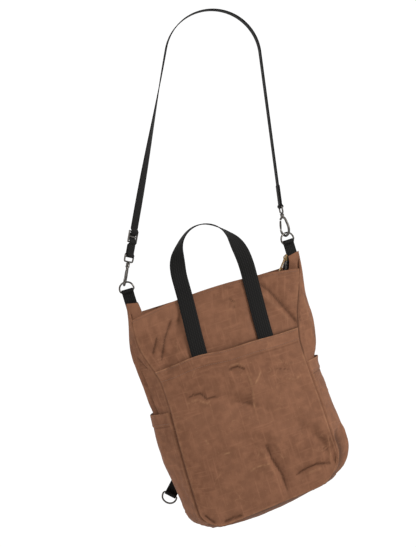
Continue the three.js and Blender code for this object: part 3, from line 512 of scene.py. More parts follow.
def creases(x, z, table):
    """Rise of the fine creases at places, and their pale wear and painted shade."""
    rise = np.zeros_like(x)
    pale_and_shade = np.zeros_like(x)
    for route, half, height, form, crease_pale_and_shade in table:
        lengths = [math.dist(a, b) for a, b in itertools.pairwise(route)]
        nearest = np.full_like(x, 1e9)
        along = np.zeros_like(x)
        done = 0.0
        for (a, b), length in zip(itertools.pairwise(route), lengths):
            away, share = from_segment(x, z, a, b)
            along = np.where(away < nearest, (done + share * length) / sum(lengths), along)
            nearest = np.minimum(nearest, away)
            done += length
        taper = smooth(along, *CREASE_TAPER) * smooth(1 - along, *CREASE_TAPER)
        rise += height * taper * np.exp(-(nearest / half) ** CREASE_POWERS[form])
        # Where the paleness is below 0, this paints a line of shade along the crease.
        width = CREASE_LINE if crease_pale_and_shade > 0 else max(CREASE_LINE, CREASE_DARK * half)
        pale_and_shade += crease_pale_and_shade * taper * np.exp(-(nearest / width) ** 2)
    return rise, pale_and_shade


def fractal(places, scale, octaves):
    """Fractal noise of places, about -1 to 1."""
    flat = places.reshape(-1, 3) / scale
    values = [noise.fractal(Vector(p), 0.9, 2.1, octaves, noise_basis="PERLIN_ORIGINAL") for p in flat]
    return np.array(values).reshape(places.shape[:-1])


def wrinkles(places):
    """Small uneven wrinkles: soft waves, sparse sharp ridges and facets, in millimetres."""
    height = sizes().wrinkle / MM
    soft = fractal(places, WAVE_SCALE, 3)
    ridge = 1 - np.abs(fractal(places + RIDGE_OFFSET, RIDGE_SCALE, 2)) * RIDGE_NARROW
    where = smooth(fractal(places + RIDGE_PLACE_OFFSET, RIDGE_PLACE_SCALE, 1), *RIDGE_PLACES)
    crumple = sum(share * facets(places + offset, cell) for share, offset, cell in FACETS)
    return height * (WAVE_SHARE * soft + RIDGE_SHARE * where * np.clip(ridge, 0, 1) ** 3 - crumple)


# Surfaces of the bag
def fine_share(a, row):
    """Share of the creases and wrinkles that shows: none at the seams."""
    ends = smooth(row, 0, FINE_END), smooth(FRONT_TOP - row, 0, FINE_END)
    return smooth(1 - np.abs(a), 0, FINE_SIDE) * ends[0] * ends[1]


def front_surface(a, row, off=0.0):
    """Outer places of the front at shares across and rows, and their pale wear and painted shade."""
    top = lerp(FRONT_TOP, CORNER_TOP, a * a)
    z = row_height(a * LOW_SEAM, row, top)
    side = side_at(z)
    x = side["seam"] * a
    edge = 1 - np.abs(a) ** SWELL_POWER
    ends = smooth(row, 0, FOLD_END) * smooth(FRONT_TOP - row, 0, FOLD_END)
    calm = smooth(1 - np.abs(a), 0, FOLD_SIDE) * ends
    fine, pale_and_shade = creases(x + shift_at(z), z, FRONT_CREASES)
    flat = np.stack([x, np.zeros_like(x), z], -1)
    lift = main_folds(x, z) * calm + (fine + wrinkles(flat)) * fine_share(a, row)
    inward = np.minimum((1 - np.abs(a)) * side["seam"], row)
    turn = rolled(inward)
    y = side["front"] - side["swell"] * edge - lift - off * turn + SEAM_DIP * (1 - turn)
    depth = lerp(1.0, right_depth(z), smooth(a, 0, 0.5))
    return np.stack([x + shift_at(z), y, z], -1), pale_and_shade + seam_wear_and_shade(inward, depth)


def back_surface(a, row):
    """Outer places of the back at shares across and rows."""
    z = row_height(a * LOW_SEAM, row, np.full_like(a, BACK_TOP))
    side = side_at(z)
    y = side["back"] + side["back_swell"] * (1 - np.abs(a) ** SWELL_POWER)
    x = side["seam"] * a
    flat = np.stack([x, np.full_like(x, BACK_OFFSET), z], -1)
    turn = rolled(np.minimum((1 - np.abs(a)) * side["seam"], row))
    y = y + BACK_WRINKLES * wrinkles(flat) * fine_share(a, row) - SEAM_DIP * (1 - turn)
    return np.stack([x + shift_at(z), y, z], -1)


def side_stations(name, count):
    """Places up one side from the lower corner to the top, as a dictionary of columns."""
    sign, radius, low = CORNERS[name]
    turn = np.linspace(CORNER_SPLIT, 0, max(count // 9, 6))
    rise = np.linspace(low + radius, CORNER_TOP, count)[1:]
    return joined_stations([corner_stations(name, turn), straight_stations(sign, rise)])


def corner_stations(name, turn):
    sign, radius, low = CORNERS[name]
    nx, nz = sign * np.cos(turn), -np.sin(turn)
    side = side_at(np.zeros_like(turn))
    side["out"] = lerp(out_at(sign, low + radius), BASE_OUT, smooth(turn, 0, BASE_TURN))
    middle = sign * (LOW_SEAM - radius)
    return {**side, "x": middle + nx * radius, "z": low + radius + nz * radius, "nx": nx, "nz": nz}


def out_at(sign, z):
    return side_at(np.asarray(z, float))["out_left" if sign < 0 else "out_right"]


def straight_stations(sign, z):
    side = side_at(z)
    flat = np.zeros_like(z)
    return {**side, "x": sign * side["seam"], "z": z, "nx": flat + sign, "nz": flat, "out": out_at(sign, z)}


def base_stations(count):
    x = np.linspace(corner_end("left"), corner_end("right"), count)[1:-1]
    flat = np.zeros_like(x)
    run = {**side_at(flat), "x": x, "z": bottom_at(x), "nx": flat, "nz": flat - 1}
    share = np.linspace(0, 1, count)[1:-1]
    run["out"] = BASE_OUT + BASE_BULGE * np.sin(math.pi * share) ** 0.8
    turn = np.linspace(CORNER_SPLIT, math.pi / 2, CORNER_STEPS)
    return joined_stations([corner_stations("left", turn), run, corner_stations("right", turn[::-1])])


def joined_stations(groups):
    return {key: np.concatenate([group[key] for group in groups]) for key in groups[0]}


def band_surface(stations, t, off=0.0, name=None):
    """Outer places of the band round the bag; t runs from the back seam to the front seam."""
    s = {key: value[:, None] for key, value in stations.items()}
    y = lerp(s["back"] - SEAM_INSET, s["front"] + SEAM_INSET, t)
    inward = np.minimum(t, 1 - t) * (s["back"] - s["front"])
    sewn = smooth(CORNER_TOP - s["z"], *SEWN_SPAN)
    turn = rolled(inward)
    swell = 1 - np.abs(2 * t - 1) ** BAND_POWER
    out = s["out"] * swell + off * turn - SEAM_DIP * (1 - turn) * sewn
    pale_and_shade = np.zeros_like(out)
    if name in PLEATS:
        depth, low, high, middle, half = PLEATS[name]
        share = smooth(s["z"], low, low + PLEAT_START) * smooth(high - s["z"], 0, PLEAT_END)
        behind = middle + PLEAT_LIP * half - t
        fading = np.exp(-np.clip(behind / half - PLEAT_LIP, 0, None) ** PLEAT_POWER)
        fold = share * smooth(behind, 0, PLEAT_LIP * half) * fading
        out = out - depth * fold
    z = s["z"] + np.zeros_like(y)
    near = smooth(t, 0, FINE_BAND) * smooth(1 - t, 0, FINE_BAND) * smooth(CORNER_TOP - z, 0, FINE_END)
    place = np.stack([s["nx"] * BAND_OFFSET + np.zeros_like(y), y, z + s["x"] * np.abs(s["nz"])], -1)
    fine = wrinkles(place)
    if name in SIDE_CREASES:
        table = [
            ([(share * 100, height) for share, height in route], *rest)
            for route, *rest in SIDE_CREASES[name] + SIDE_CREASES.get(f"pocket_{name}", ())
        ]
        along = s["x"] + np.zeros_like(z) if name == "base" else z
        crease, pale_and_shade = creases(t * 100 + np.zeros_like(z), along, table)
        fine = fine + crease
        if name in PLEATS:
            # Painted shade in the pleat's recess.
            pale_and_shade = pale_and_shade - PLEAT_SHADE * smooth(fold, *PLEAT_SHADE_SPAN)
    out = out + fine * near
    rise = PEAK_RISE * np.sin(math.pi * t) ** PEAK_POWER * smooth(s["z"], PEAK_FROM, CORNER_TOP)
    z = s["z"] + s["nz"] * out + rise
    x = s["x"] + s["nx"] * out
    at_right = name in ("right", "pocket_right")
    depth = np.where(t > 0.5, right_depth(s["z"]), 1.0) if at_right else 1.0
    return np.stack([x + shift_at(z), y, z], -1), pale_and_shade + seam_wear_and_shade(inward, depth) * sewn


def hem_lift(a):
    """How far the front pocket's hem stands above its straight line."""
    return sum(rise * np.exp(-((a - place) / half) ** 2) for rise, place, half in HEM_WAVES)


def hem_shade(a, row):
    """Painted shadow on the front panel just above the hem, deepest at the right."""
    away = row - FRONT_POCKET["hem"] - hem_lift(a)
    fading = np.exp(-(np.clip(away, 0, None) / HEM_SHADE_WIDTH) ** 2)
    return lerp(*HEM_SHADE, smooth(a, *HEM_SHADE_SPAN)) * fading


def zip_rise(a):
    return smooth(np.abs(a), ZIP_RISE_FROM, 1)


def zip_place(a):
    rise = zip_rise(a)
    z = lerp(ZIP_Z, ZIP_END_Z, rise)
    return np.stack([ZIP_HALF * a + shift_at(z), ZIP_END_Y * rise, z], -1)


def zip_frame(a):
    """Place, along, side and face of the zip's middle line."""
    along = unit(zip_place(a + 0.005) - zip_place(a - 0.005))
    turn = ZIP_END_TURN * zip_rise(a)
    side = np.stack([np.zeros_like(turn), np.cos(turn), np.sin(turn)], -1)
    side = unit(side - along * np.sum(side * along, -1, keepdims=True))
    return zip_place(a), along, side, np.cross(along, side)


def zip_twisted(points):
    """Bag places on the zip, with its right end turned toward the front below the slider."""
    line = zip_place(np.linspace(ZIP_RISE_FROM, 1, 60))
    x, y, z = np.moveaxis(points, -1, 0)
    part = smooth(z, *TWIST_LOW) * (1 - smooth(z, *TWIST_HIGH)) * (x > 0)
    middle_x = np.interp(z, line[:, 2], line[:, 0])
    middle_y = np.interp(z, line[:, 2], line[:, 1])
    cos, sin = np.cos(ZIP_TWIST * part), np.sin(ZIP_TWIST * part)
    right, back = x - middle_x, y - middle_y
    return np.stack([
        middle_x + right * cos - back * sin + ZIP_LEAN * part, middle_y + right * sin + back * cos, z], -1)


# Meshes
def twisted_mesh(mesh):
    """A mesh of the zip with its right end turned toward the front."""
    places = np.zeros(len(mesh.vertices) * 3)
    mesh.vertices.foreach_get("co", places)
    mesh.vertices.foreach_set("co", to_row(zip_twisted(from_row(places.reshape(-1, 3)))).ravel())
    mesh.update()
    return mesh


def linked(name, mesh):
    piece = bpy.data.objects.new(name, mesh)
    bpy.context.scene.collection.objects.link(piece)
    return piece


def only(piece):
    """Makes a piece the one selected and active object."""
    bpy.ops.object.select_all(action="DESELECT")
    piece.select_set(True)
    bpy.context.view_layer.objects.active = piece
    return piece


def applied(piece, kind, **settings):
    """Adds a modifier with its settings and applies it."""
    modifier = piece.modifiers.new(kind.title(), kind)
    for key, value in settings.items():
        setattr(modifier, key, value)
    only(piece)
    bpy.ops.object.modifier_apply(modifier=modifier.name)


def welded_copy(name, node):
    """A copy of a node's mesh without doubles, left in edit mode with everything selected."""
    piece = only(linked(name, frame["nodes"][node].data.copy()))
    bpy.ops.object.mode_set(mode="EDIT")
    bpy.ops.mesh.select_all(action="SELECT")
    bpy.ops.mesh.remove_doubles(threshold=WELD)
    return piece


def finished(piece, slot, replaces=(), body=BAG, angle=None, finish=None):
    """Gives a piece its finish, its body and the nodes that it stands for."""
    piece.data.materials.clear()
    piece.data.materials.append(finish_named(finish or slot))
    only(piece)
    if angle is None:
        bpy.ops.object.shade_smooth()
    else:
        bpy.ops.object.shade_smooth_by_angle(angle=angle)
    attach(piece, body)
    if replaces:
        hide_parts(*replaces)


def grid_faces(rows, columns, first=0, turned_over=False):
    """Four-sided faces of a grid of vertices."""
    a = first + np.arange(rows * columns).reshape(rows, columns)
    quads = np.stack([a[:-1, :-1], a[:-1, 1:], a[1:, 1:], a[1:, :-1]], -1).reshape(-1, 4)
    return quads[:, ::-1] if turned_over else quads


def mesh_of(name, vertices, faces, uv=None, **attributes):
    """A mesh from arrays, with a UV place and numbers for each vertex."""
    mesh = bpy.data.meshes.new(name)
    mesh.from_pydata(vertices.tolist(), [], [list(map(int, f)) for f in faces])
    if uv is not None:
        corners = np.zeros(len(mesh.loops), int)
        mesh.loops.foreach_get("vertex_index", corners)
        layer = mesh.uv_layers.new(name="Weave")
        layer.uv.foreach_set("vector", uv[corners].astype(np.float32).ravel())
    for key, values in attributes.items():
        mesh.attributes.new(key, "FLOAT", "POINT").data.foreach_set("value", values.astype(np.float32))
    mesh.update()
    mesh.validate()
    return mesh


def cloth_normals(outer):
    right = np.gradient(outer, axis=1)
    rise = np.gradient(outer, axis=0)
    return unit(np.cross(right, rise))


def wear_and_shade(outer, pale_and_shade):
    """Pale wear where the cloth bends outward, and painted shade where it bends inward and where the paleness
    is below 0.
    """
    normal = cloth_normals(outer)
    bend = np.zeros(outer.shape[:2])
    for axis in (0, 1):
        before = np.roll(outer, 1, axis)
        after = np.roll(outer, -1, axis)
        gap = np.linalg.norm(after - before, axis=-1) / 2 + 1e-6
        curve = np.sum((before + after - 2 * outer) * normal, -1) / gap ** 2
        edge = [slice(None)] * 2
        edge[axis] = [0, -1]
        curve[tuple(edge)] = 0
        bend -= curve
    ridge = smooth(bend, *RIDGE_BEND)
    valley_shade = np.maximum(smooth(-bend, *VALLEY_SHADE_BEND), -pale_and_shade)
    return np.clip(RIDGE_PALE * ridge + CREASE_PALE * pale_and_shade, 0, 1), np.clip(valley_shade, 0, 1)


def cloth_piece(name, outer, pale_and_shade, thickness):
    """A closed piece of cloth from rows and columns of outer places."""
    rows, columns = outer.shape[:2]
    inner = outer - cloth_normals(outer) * np.broadcast_to(thickness, (rows, columns))[..., None]
    ridge, valley_shade = wear_and_shade(outer, pale_and_shade)
    across = np.linalg.norm(np.diff(outer[rows // 2], axis=0), axis=1)
    up = np.linalg.norm(np.diff(outer[:, columns // 2], axis=0), axis=1)
    u, v = np.meshgrid(np.append(0, np.cumsum(across)), np.append(0, np.cumsum(up)))
    uv = np.stack([u, v], -1).reshape(-1, 2) * MM
    layer = rows * columns
    border = np.concatenate([
        np.arange(columns), np.arange(1, rows) * columns + columns - 1,
        layer - 2 - np.arange(columns - 1), np.arange(rows - 2, 0, -1) * columns,
    ])
    after = np.roll(border, -1)
    rim = np.stack([border, layer + border, layer + after, after], -1)
    faces = np.concatenate([grid_faces(rows, columns), grid_faces(rows, columns, layer, True), rim])
    places = to_row(np.concatenate([outer.reshape(-1, 3), inner.reshape(-1, 3)]))
    # The wear attribute holds pale wear; the valley attribute holds painted shade.
    wear = {"wear": np.tile(ridge.ravel(), 2), "valley_shade": np.tile(valley_shade.ravel(), 2)}
    return linked(name, mesh_of(name, places, faces, np.tile(uv, (2, 1)), **wear))


def sewn_sheet(node, outer, pale_and_shade, thickness=CANVAS):
    """One panel of cloth that stands for its node."""
    piece = cloth_piece(f"{node}_cloth", outer, pale_and_shade, thickness)
    finished(piece, "canvas", [node], angle=CLOTH_ANGLE)


def band_mesh(name, places, sides, faces_out, width, thickness):
    """A woven band with rounded edges along places in metres."""
    half, deep = width / 2, thickness / 2
    top = [(-half + deep, deep), (-half * 0.4, deep), (half * 0.4, deep), (half - deep, deep)]
    end = [(half - deep * 0.3, deep * 0.7), (half, 0), (half - deep * 0.3, -deep * 0.7)]
    section = np.array(top + end + [(-u, -v) for u, v in top] + [(-u, -v) for u, v in end])
    ring = len(section)
    across, out = section[None, :, :1], section[None, :, 1:]
    points = places[:, None] + sides[:, None] * across + faces_out[:, None] * out
    run = np.append(0, np.cumsum(np.linalg.norm(np.diff(places, axis=0), axis=1)))
    uv = np.stack(np.broadcast_arrays(section[None, :, 0] + half, run[:, None]), -1).reshape(-1, 2)
    a = np.arange(len(places) * ring).reshape(-1, ring)
    b = np.roll(a, -1, axis=1)
    skin = np.stack([a[:-1], a[1:], b[1:], b[:-1]], -1).reshape(-1, 4)
    faces = [*skin, a[0], a[-1][::-1]]
    mesh = mesh_of(name, points.reshape(-1, 3), faces, uv)
    return turned_out(mesh)


def turned_out(mesh):
    """Merges a mesh's doubles and turns its faces outward."""
    shape = bmesh.new()
    shape.from_mesh(mesh)
    bmesh.ops.remove_doubles(shape, verts=shape.verts, dist=1e-6)
    bmesh.ops.recalc_face_normals(shape, faces=shape.faces)
    shape.to_mesh(mesh)
    shape.free()
    return mesh


def strip_stations(node):
    """Corners of each cross-section of a four-cornered strip of the frame, from end to end."""
    shape = bmesh.new()
    shape.from_mesh(frame["nodes"][node].data)
    bmesh.ops.remove_doubles(shape, verts=shape.verts, dist=WELD)
    bmesh.ops.join_triangles(
        shape, faces=shape.faces, angle_face_threshold=math.pi, angle_shape_threshold=math.pi)
    ends = [v for v in shape.verts if len(v.link_edges) == 3]
    cap = next(f for f in ends[0].link_faces if all(v in ends for v in f.verts))
    ring = list(cap.verts)
    rings, seen = [ring], set(ring)
    while True:
        following = []
        for vertex in ring:
            following += [e.other_vert(vertex) for e in vertex.link_edges if e.other_vert(vertex) not in seen]
        if len(following) != 4:
            break
        seen.update(following)
        rings.append(following)
        ring = following
    corners = np.array([[v.co[:] for v in r] for r in rings])
    shape.free()
    return corners


def strip_frame(node, spacing):
    """Even places along a strip of the frame, with its width and face directions."""
    corners = strip_stations(node)
    long_side = np.linalg.norm(corners[:, 1] - corners[:, 0], axis=-1).mean()
    short_side = np.linalg.norm(corners[:, 2] - corners[:, 1], axis=-1).mean()
    if long_side < short_side:
        corners = np.roll(corners, 1, axis=1)
    middle = corners.mean(1)
    side = (corners[:, 1] + corners[:, 2] - corners[:, 0] - corners[:, 3]) / 2
    run = np.append(0, np.cumsum(np.linalg.norm(np.diff(middle, axis=0), axis=1)))
    at = np.linspace(0, run[-1], max(int(run[-1] / spacing), 4))
    place = through(at, run, middle)
    side = unit(through(at, run, side))
    along = unit(np.gradient(place, axis=0))
    side = unit(side - along * np.sum(side * along, -1, keepdims=True))
    return place, side, np.cross(along, side), along


# Finishes
class Finish:
    """A procedural material with a short way to add and join its nodes."""

    def __init__(self, name):
        self.material = bpy.data.materials.new(name)
        self.material.use_nodes = True
        self.tree = self.material.node_tree
        self.shader = self.tree.nodes["Principled BSDF"]

    def feed(self, socket, value):
        if isinstance(value, bpy.types.NodeSocket):
            self.tree.links.new(value, socket)
        else:
            socket.default_value = value

    def set(self, **values):
        for key, value in values.items():
            self.feed(self.shader.inputs[key.replace("_", " ").title().replace("Ior", "IOR")], value)

    def math(self, operation, a, b=0.5, c=0.5):
        made = self.tree.nodes.new("ShaderNodeMath")
        made.operation = operation
        for socket, value in zip(made.inputs, (a, b, c)):
            self.feed(socket, value)
        return made.outputs[0]

    def mix(self, share, a, b):
        made = self.tree.nodes.new("ShaderNodeMix")
        made.data_type = "RGBA"
        self.feed(made.inputs[0], share)
        self.feed(made.inputs[6], (*a, 1) if isinstance(a, tuple) else a)
        self.feed(made.inputs[7], (*b, 1) if isinstance(b, tuple) else b)
        return made.outputs[2]

    def span(self, value, low, high, to_low=0.0, to_high=1.0):
        made = self.tree.nodes.new("ShaderNodeMapRange")
        made.interpolation_type = "SMOOTHSTEP"
        for socket, number in zip(made.inputs, (value, low, high, to_low, to_high)):
            self.feed(socket, number)
        return made.outputs[0]

    def noise(self, vector, scale, detail=3.0):
        made = self.tree.nodes.new("ShaderNodeTexNoise")
        self.feed(made.inputs["Vector"], vector)
        made.inputs["Scale"].default_value = scale
        made.inputs["Detail"].default_value = detail
        return made.outputs["Fac"]

    def cloud(self, vector, scale, detail, low, high):
        """Noise, spread so that a span of it runs from 0 to 1."""
        return self.span(self.noise(vector, scale, detail), low, high)

    def times(self, a, b):
        return self.math("MULTIPLY", a, b)

    def mapped(self, vector, scale, offset=(0, 0, 0)):
        """A vector moved and stretched."""
        made = self.tree.nodes.new("ShaderNodeMapping")
        self.feed(made.inputs["Vector"], vector)
        made.inputs["Scale"].default_value = scale
        made.inputs["Location"].default_value = offset
        return made.outputs[0]

    def waves(self, vector, scale, direction):
        made = self.tree.nodes.new("ShaderNodeTexWave")
        made.bands_direction = direction
        self.feed(made.inputs["Vector"], vector)
        made.inputs["Scale"].default_value = scale
        return made.outputs["Fac"]

    def attribute(self, name):
        made = self.tree.nodes.new("ShaderNodeAttribute")
        made.attribute_name = name
        return made.outputs["Fac"]

    def coordinates(self, kind):
        return self.tree.nodes.new("ShaderNodeTexCoord").outputs[kind]

    def bump(self, height, strength, distance):
        made = self.tree.nodes.new("ShaderNodeBump")
        made.inputs["Strength"].default_value = strength
        made.inputs["Distance"].default_value = distance
        self.feed(made.inputs["Height"], height)
        self.feed(self.shader.inputs["Normal"], made.outputs["Normal"])


def wave_scale(period):
    """The wave texture's scale for a period in metres."""
    return 2 * math.pi / (20 * period)


def scaled(colour, factor):
    return tuple(min(1.0, c * factor) for c in colour)


# Canvas: clouds as scale, detail and the span in use, and where the darker patches fall
PATCHES, PATCH_PLACE = (11.0, 4.0, 0.31, 0.70), (0.74, 0.6, 0.45)
MOTTLE, MOTTLE_TONE, MOTTLE_SHARE = (85.0, 5.0, 0.35, 0.70), 1.32, 0.50
BROKEN, RUBBED, FLECKS = (130.0, 4.0, 0.30, 0.66), (23.0, 2.0, 0.54, 0.68), (330.0, 2.0, 0.66, 0.78)
# Streaks run along both threads; cracks are the bent edges of cells
STREAK_SCALES, STREAK_SPAN, STREAK_TONE, STREAK_SHARE = ((260, 16, 1), (18, 240, 1)), (0.54, 0.74), 1.5, 0.36
CRACK_SCALE, CRACK_WIDTH, CRACK_BEND, CRACK_BEND_SCALE = 34.0, 0.035, 0.035, 32.0
# Painted shade in valleys as a tone of the dark canvas and a share; then the shares of pale wear, cracks and
# flecks
VALLEY_SHADE_TONE, VALLEY_SHADE_SHARE, WEAR_SHARE, CRACK_SHARE, FLECK_SHARE = 0.4, 0.74, 0.62, 0.28, 0.24
CANVAS_ROUGH, CANVAS_GLOSS, CANVAS_THREAD, CANVAS_GRAIN = (0.58, 0.70), 0.05, 0.0008, (150.0, 5.0, 2.4)

# Webbing (its uneven tone and painted highlight on the ribs as a factor and a lift of its colour, and its
# gloss), metal and thread, then the strength and depth in metres of every finish's relief
WEBBING_BRIGHT, WEBBING_LIFT, WEBBING_GLOSS = 4.4, 0.002, 0.08
METAL_CLOUD, METAL_DARK, THREAD_TONES = (240.0, 4.0, 0.35, 0.7), 0.55, (0.7, 1.5)
CANVAS_BUMP, WEBBING_BUMP = (0.45, 0.00022), (0.8, 0.0004)
METAL_BUMP, THREAD_BUMP = (0.12, 0.0001), (0.3, 0.0001)


def canvas_finish():
    """Waxed canvas: woven, mottled, pale along creases, with painted shade in hollows."""
    tone = colours()
    finish = Finish("waxed_canvas")
    place = finish.coordinates("Object")
    weave = finish.coordinates("UV")
    patches = finish.cloud(finish.mapped(place, (1, 1, 1), PATCH_PLACE), *PATCHES)
    mottle = finish.cloud(place, *MOTTLE)
    base = finish.mix(patches, tuple(tone.canvas_dark), tuple(tone.canvas))
    base = finish.mix(finish.times(mottle, MOTTLE_SHARE), base, scaled(tone.canvas, MOTTLE_TONE))
    streaks = [finish.noise(finish.mapped(weave, scale), 1.0, 3.0) for scale in STREAK_SCALES]
    streak = finish.span(finish.math("MAXIMUM", *streaks), *STREAK_SPAN)
    base = finish.mix(finish.times(streak, STREAK_SHARE), base, scaled(tone.canvas, STREAK_TONE))
    # Painted shade: the valley attribute darkens hollows, seam grooves, pleats, the base and dark crease
    # lines toward a darker canvas tone.
    valley_shade = finish.times(finish.attribute("valley_shade"), VALLEY_SHADE_SHARE)
    base = finish.mix(valley_shade, base, scaled(tone.canvas_dark, VALLEY_SHADE_TONE))
    broken = finish.cloud(place, *BROKEN)
    wear = finish.times(finish.times(finish.attribute("wear"), WEAR_SHARE), broken)
    line = finish.times(finish.times(crack_lines(finish, place), finish.cloud(place, *RUBBED)), broken)
    marks = finish.math("MAXIMUM", wear, finish.times(line, CRACK_SHARE))
    marks = finish.math("MAXIMUM", marks, finish.times(finish.cloud(place, *FLECKS), FLECK_SHARE))
    finish.set(
        base_color=finish.mix(marks, base, tuple(tone.canvas_pale)),
        roughness=finish.span(mottle, 0.0, 1.0, *CANVAS_ROUGH), specular_ior_level=CANVAS_GLOSS)
    threads = [finish.waves(weave, wave_scale(CANVAS_THREAD), axis) for axis in "XY"]
    scale, detail, share = CANVAS_GRAIN
    grain = finish.noise(place, scale, detail)
    finish.bump(finish.math("MULTIPLY_ADD", grain, share, finish.math("MAXIMUM", *threads)), *CANVAS_BUMP)
    return finish.material


def crack_lines(finish, place):
    """Thin bent lines of a net, as cracks in the wax."""
    warp = finish.tree.nodes.new("ShaderNodeTexNoise")
    warp.inputs["Scale"].default_value = CRACK_BEND_SCALE
    finish.feed(warp.inputs["Vector"], place)
    bent = finish.tree.nodes.new("ShaderNodeMixRGB")
    bent.blend_type = "ADD"
    bent.inputs["Fac"].default_value = CRACK_BEND
    finish.feed(bent.inputs["Color1"], place)
    finish.feed(bent.inputs["Color2"], warp.outputs["Color"])
    cracks = finish.tree.nodes.new("ShaderNodeTexVoronoi")
    cracks.feature = "DISTANCE_TO_EDGE"
    cracks.inputs["Scale"].default_value = CRACK_SCALE
    finish.feed(cracks.inputs["Vector"], bent.outputs["Color"])
    return finish.span(cracks.outputs["Distance"], 0.0, CRACK_WIDTH, 1.0, 0.0)


def webbing_finish(name, colour, rib):
    """Black webbing: ribs along its length with a herringbone of picks, their tops lighter as a painted
    highlight, and an uneven tone.
    """
    finish = Finish(name)
    weave = finish.coordinates("UV")
    ribs = finish.waves(weave, wave_scale(rib), "X")
    picks = finish.waves(weave, wave_scale(rib * 0.8), "DIAGONAL")
    threads = finish.times(ribs, finish.math("MULTIPLY_ADD", picks, 0.6, 0.4))
    fuzz = finish.noise(finish.coordinates("Object"), 900.0, 3.0)
    # Uneven tone from a fine noise, and a painted highlight on the tops of the ribs.
    light = finish.math("MULTIPLY_ADD", fuzz, 0.5, finish.times(threads, 0.6))
    tone_and_highlight = tuple(c * WEBBING_BRIGHT + WEBBING_LIFT for c in colour)
    finish.set(
        base_color=finish.mix(light, tuple(colour), tone_and_highlight),
        roughness=finish.span(fuzz, 0.2, 0.8, 0.62, 0.82), specular_ior_level=WEBBING_GLOSS)
    finish.bump(threads, *WEBBING_BUMP)
    return finish.material


def metal_finish(name, colour, rough, wear):
    """Plated metal with a dull, slightly worn skin."""
    finish = Finish(name)
    place = finish.coordinates("Object")
    dull = finish.cloud(place, *METAL_CLOUD)
    finish.set(
        base_color=finish.mix(dull, scaled(colour, METAL_DARK), tuple(colour)),
        roughness=finish.span(dull, 0.0, 1.0, rough + wear, rough), metallic=1.0)
    finish.bump(finish.noise(place, 1500.0, 3.0), *METAL_BUMP)
    return finish.material


def thread_finish():
    """Waxed sewing thread with a fine twist."""
    finish = Finish("thread")
    twist = finish.noise(finish.coordinates("Object"), 1800.0, 2.0)
    dark, light = (scaled(colours().thread, factor) for factor in THREAD_TONES)
    finish.set(base_color=finish.mix(twist, dark, light), roughness=finish.span(twist, 0.2, 0.8, 0.5, 0.7))
    finish.bump(twist, *THREAD_BUMP)
    return finish.material


FINISHES = {}


def finish_named(name):
    """One material for each finish, made when first asked for."""
    makers = {
        "canvas": canvas_finish,
        "webbing": lambda: webbing_finish("webbing", colours().webbing, rib=0.0034),
        "zip_tape": lambda: webbing_finish("zip_tape", colours().webbing, rib=0.0012),
        "gunmetal": lambda: metal_finish("gunmetal", colours().gunmetal, rough=0.30, wear=0.16),
        "antique_brass": lambda: metal_finish("antique_brass", colours().brass, rough=0.32, wear=0.18),
        "zip_chain": lambda: metal_finish("zip_teeth", colours().teeth, rough=0.34, wear=0.16),
        "thread": thread_finish,
    }
    if name not in FINISHES:
        FINISHES[name] = makers[name]()
    return FINISHES[name]


# Stitches: pitch in stitch lengths, first place in pitches, rise in thread radii,
# and rings as share along the stitch and share of the thread's radius
STITCH_PITCH, STITCH_START, STITCH_RISE = 1.22, 0.3, 0.35
STITCH_RINGS = ((0.0, 0.35), (0.2, 0.95), (0.8, 0.95), (1.0, 0.35))


def stitch_row(places, normals):
    """Small rounded stitches along places that lie on a surface, in metres."""
    size = sizes()
    run = np.append(0, np.cumsum(np.linalg.norm(np.diff(places, axis=0), axis=1)))
    pitch = size.stitch * STITCH_PITCH
    vertices, faces = [], []
    for start in np.arange(pitch * STITCH_START, run[-1] - size.stitch, pitch):
        ends = through(np.array([start, start + size.stitch]), run, places)
        middle = through(np.array([start + size.stitch / 2]), run, normals)[0]
        along = unit(ends[1] - ends[0])
        up = unit(middle - along * (middle @ along))
        across = np.cross(along, up)
        first = len(vertices)
        for share, swell in STITCH_RINGS:
            centre = lerp(ends[0], ends[1], share) + up * size.thread * STITCH_RISE
            for turn in np.arange(6) * math.pi / 3:
                reach = math.cos(turn) * across + math.sin(turn) * up
                vertices.append(centre + reach * size.thread * swell)
        for ring in range(3):
            for k in range(6):
                a, b = first + ring * 6 + k, first + ring * 6 + (k + 1) % 6
                faces.append((a, b, b + 6, a + 6))
        faces.append([first + k for k in range(5, -1, -1)])
        faces.append([first + 18 + k for k in range(6)])
    return vertices, faces


def stitching(name, rows, finish="thread", slot="canvas"):
    """Makes one piece of several rows of stitches, each a pair of places and normals."""
    vertices, faces = [], []
    for places, normals in rows:
        more, quads = stitch_row(places, normals)
        faces += [[len(vertices) + v for v in f] for f in quads]
        vertices += more
    mesh = turned_out(mesh_of(name, np.array(vertices), faces))
    finished(linked(name, mesh), slot, finish=finish)


def surface_row(outer, heights, wanted, trim=0.02):
    """Places and normals of the row of cloth nearest to a height, without its trimmed ends."""
    k = int(np.argmin(np.abs(np.asarray(heights) - wanted)))
    columns = outer.shape[1]
    cut = slice(int(trim * columns), columns - int(trim * columns))
    return to_row(outer[k, cut]), np.array([turned(n) for n in cloth_normals(outer)[k, cut]])


SURFACES = {}


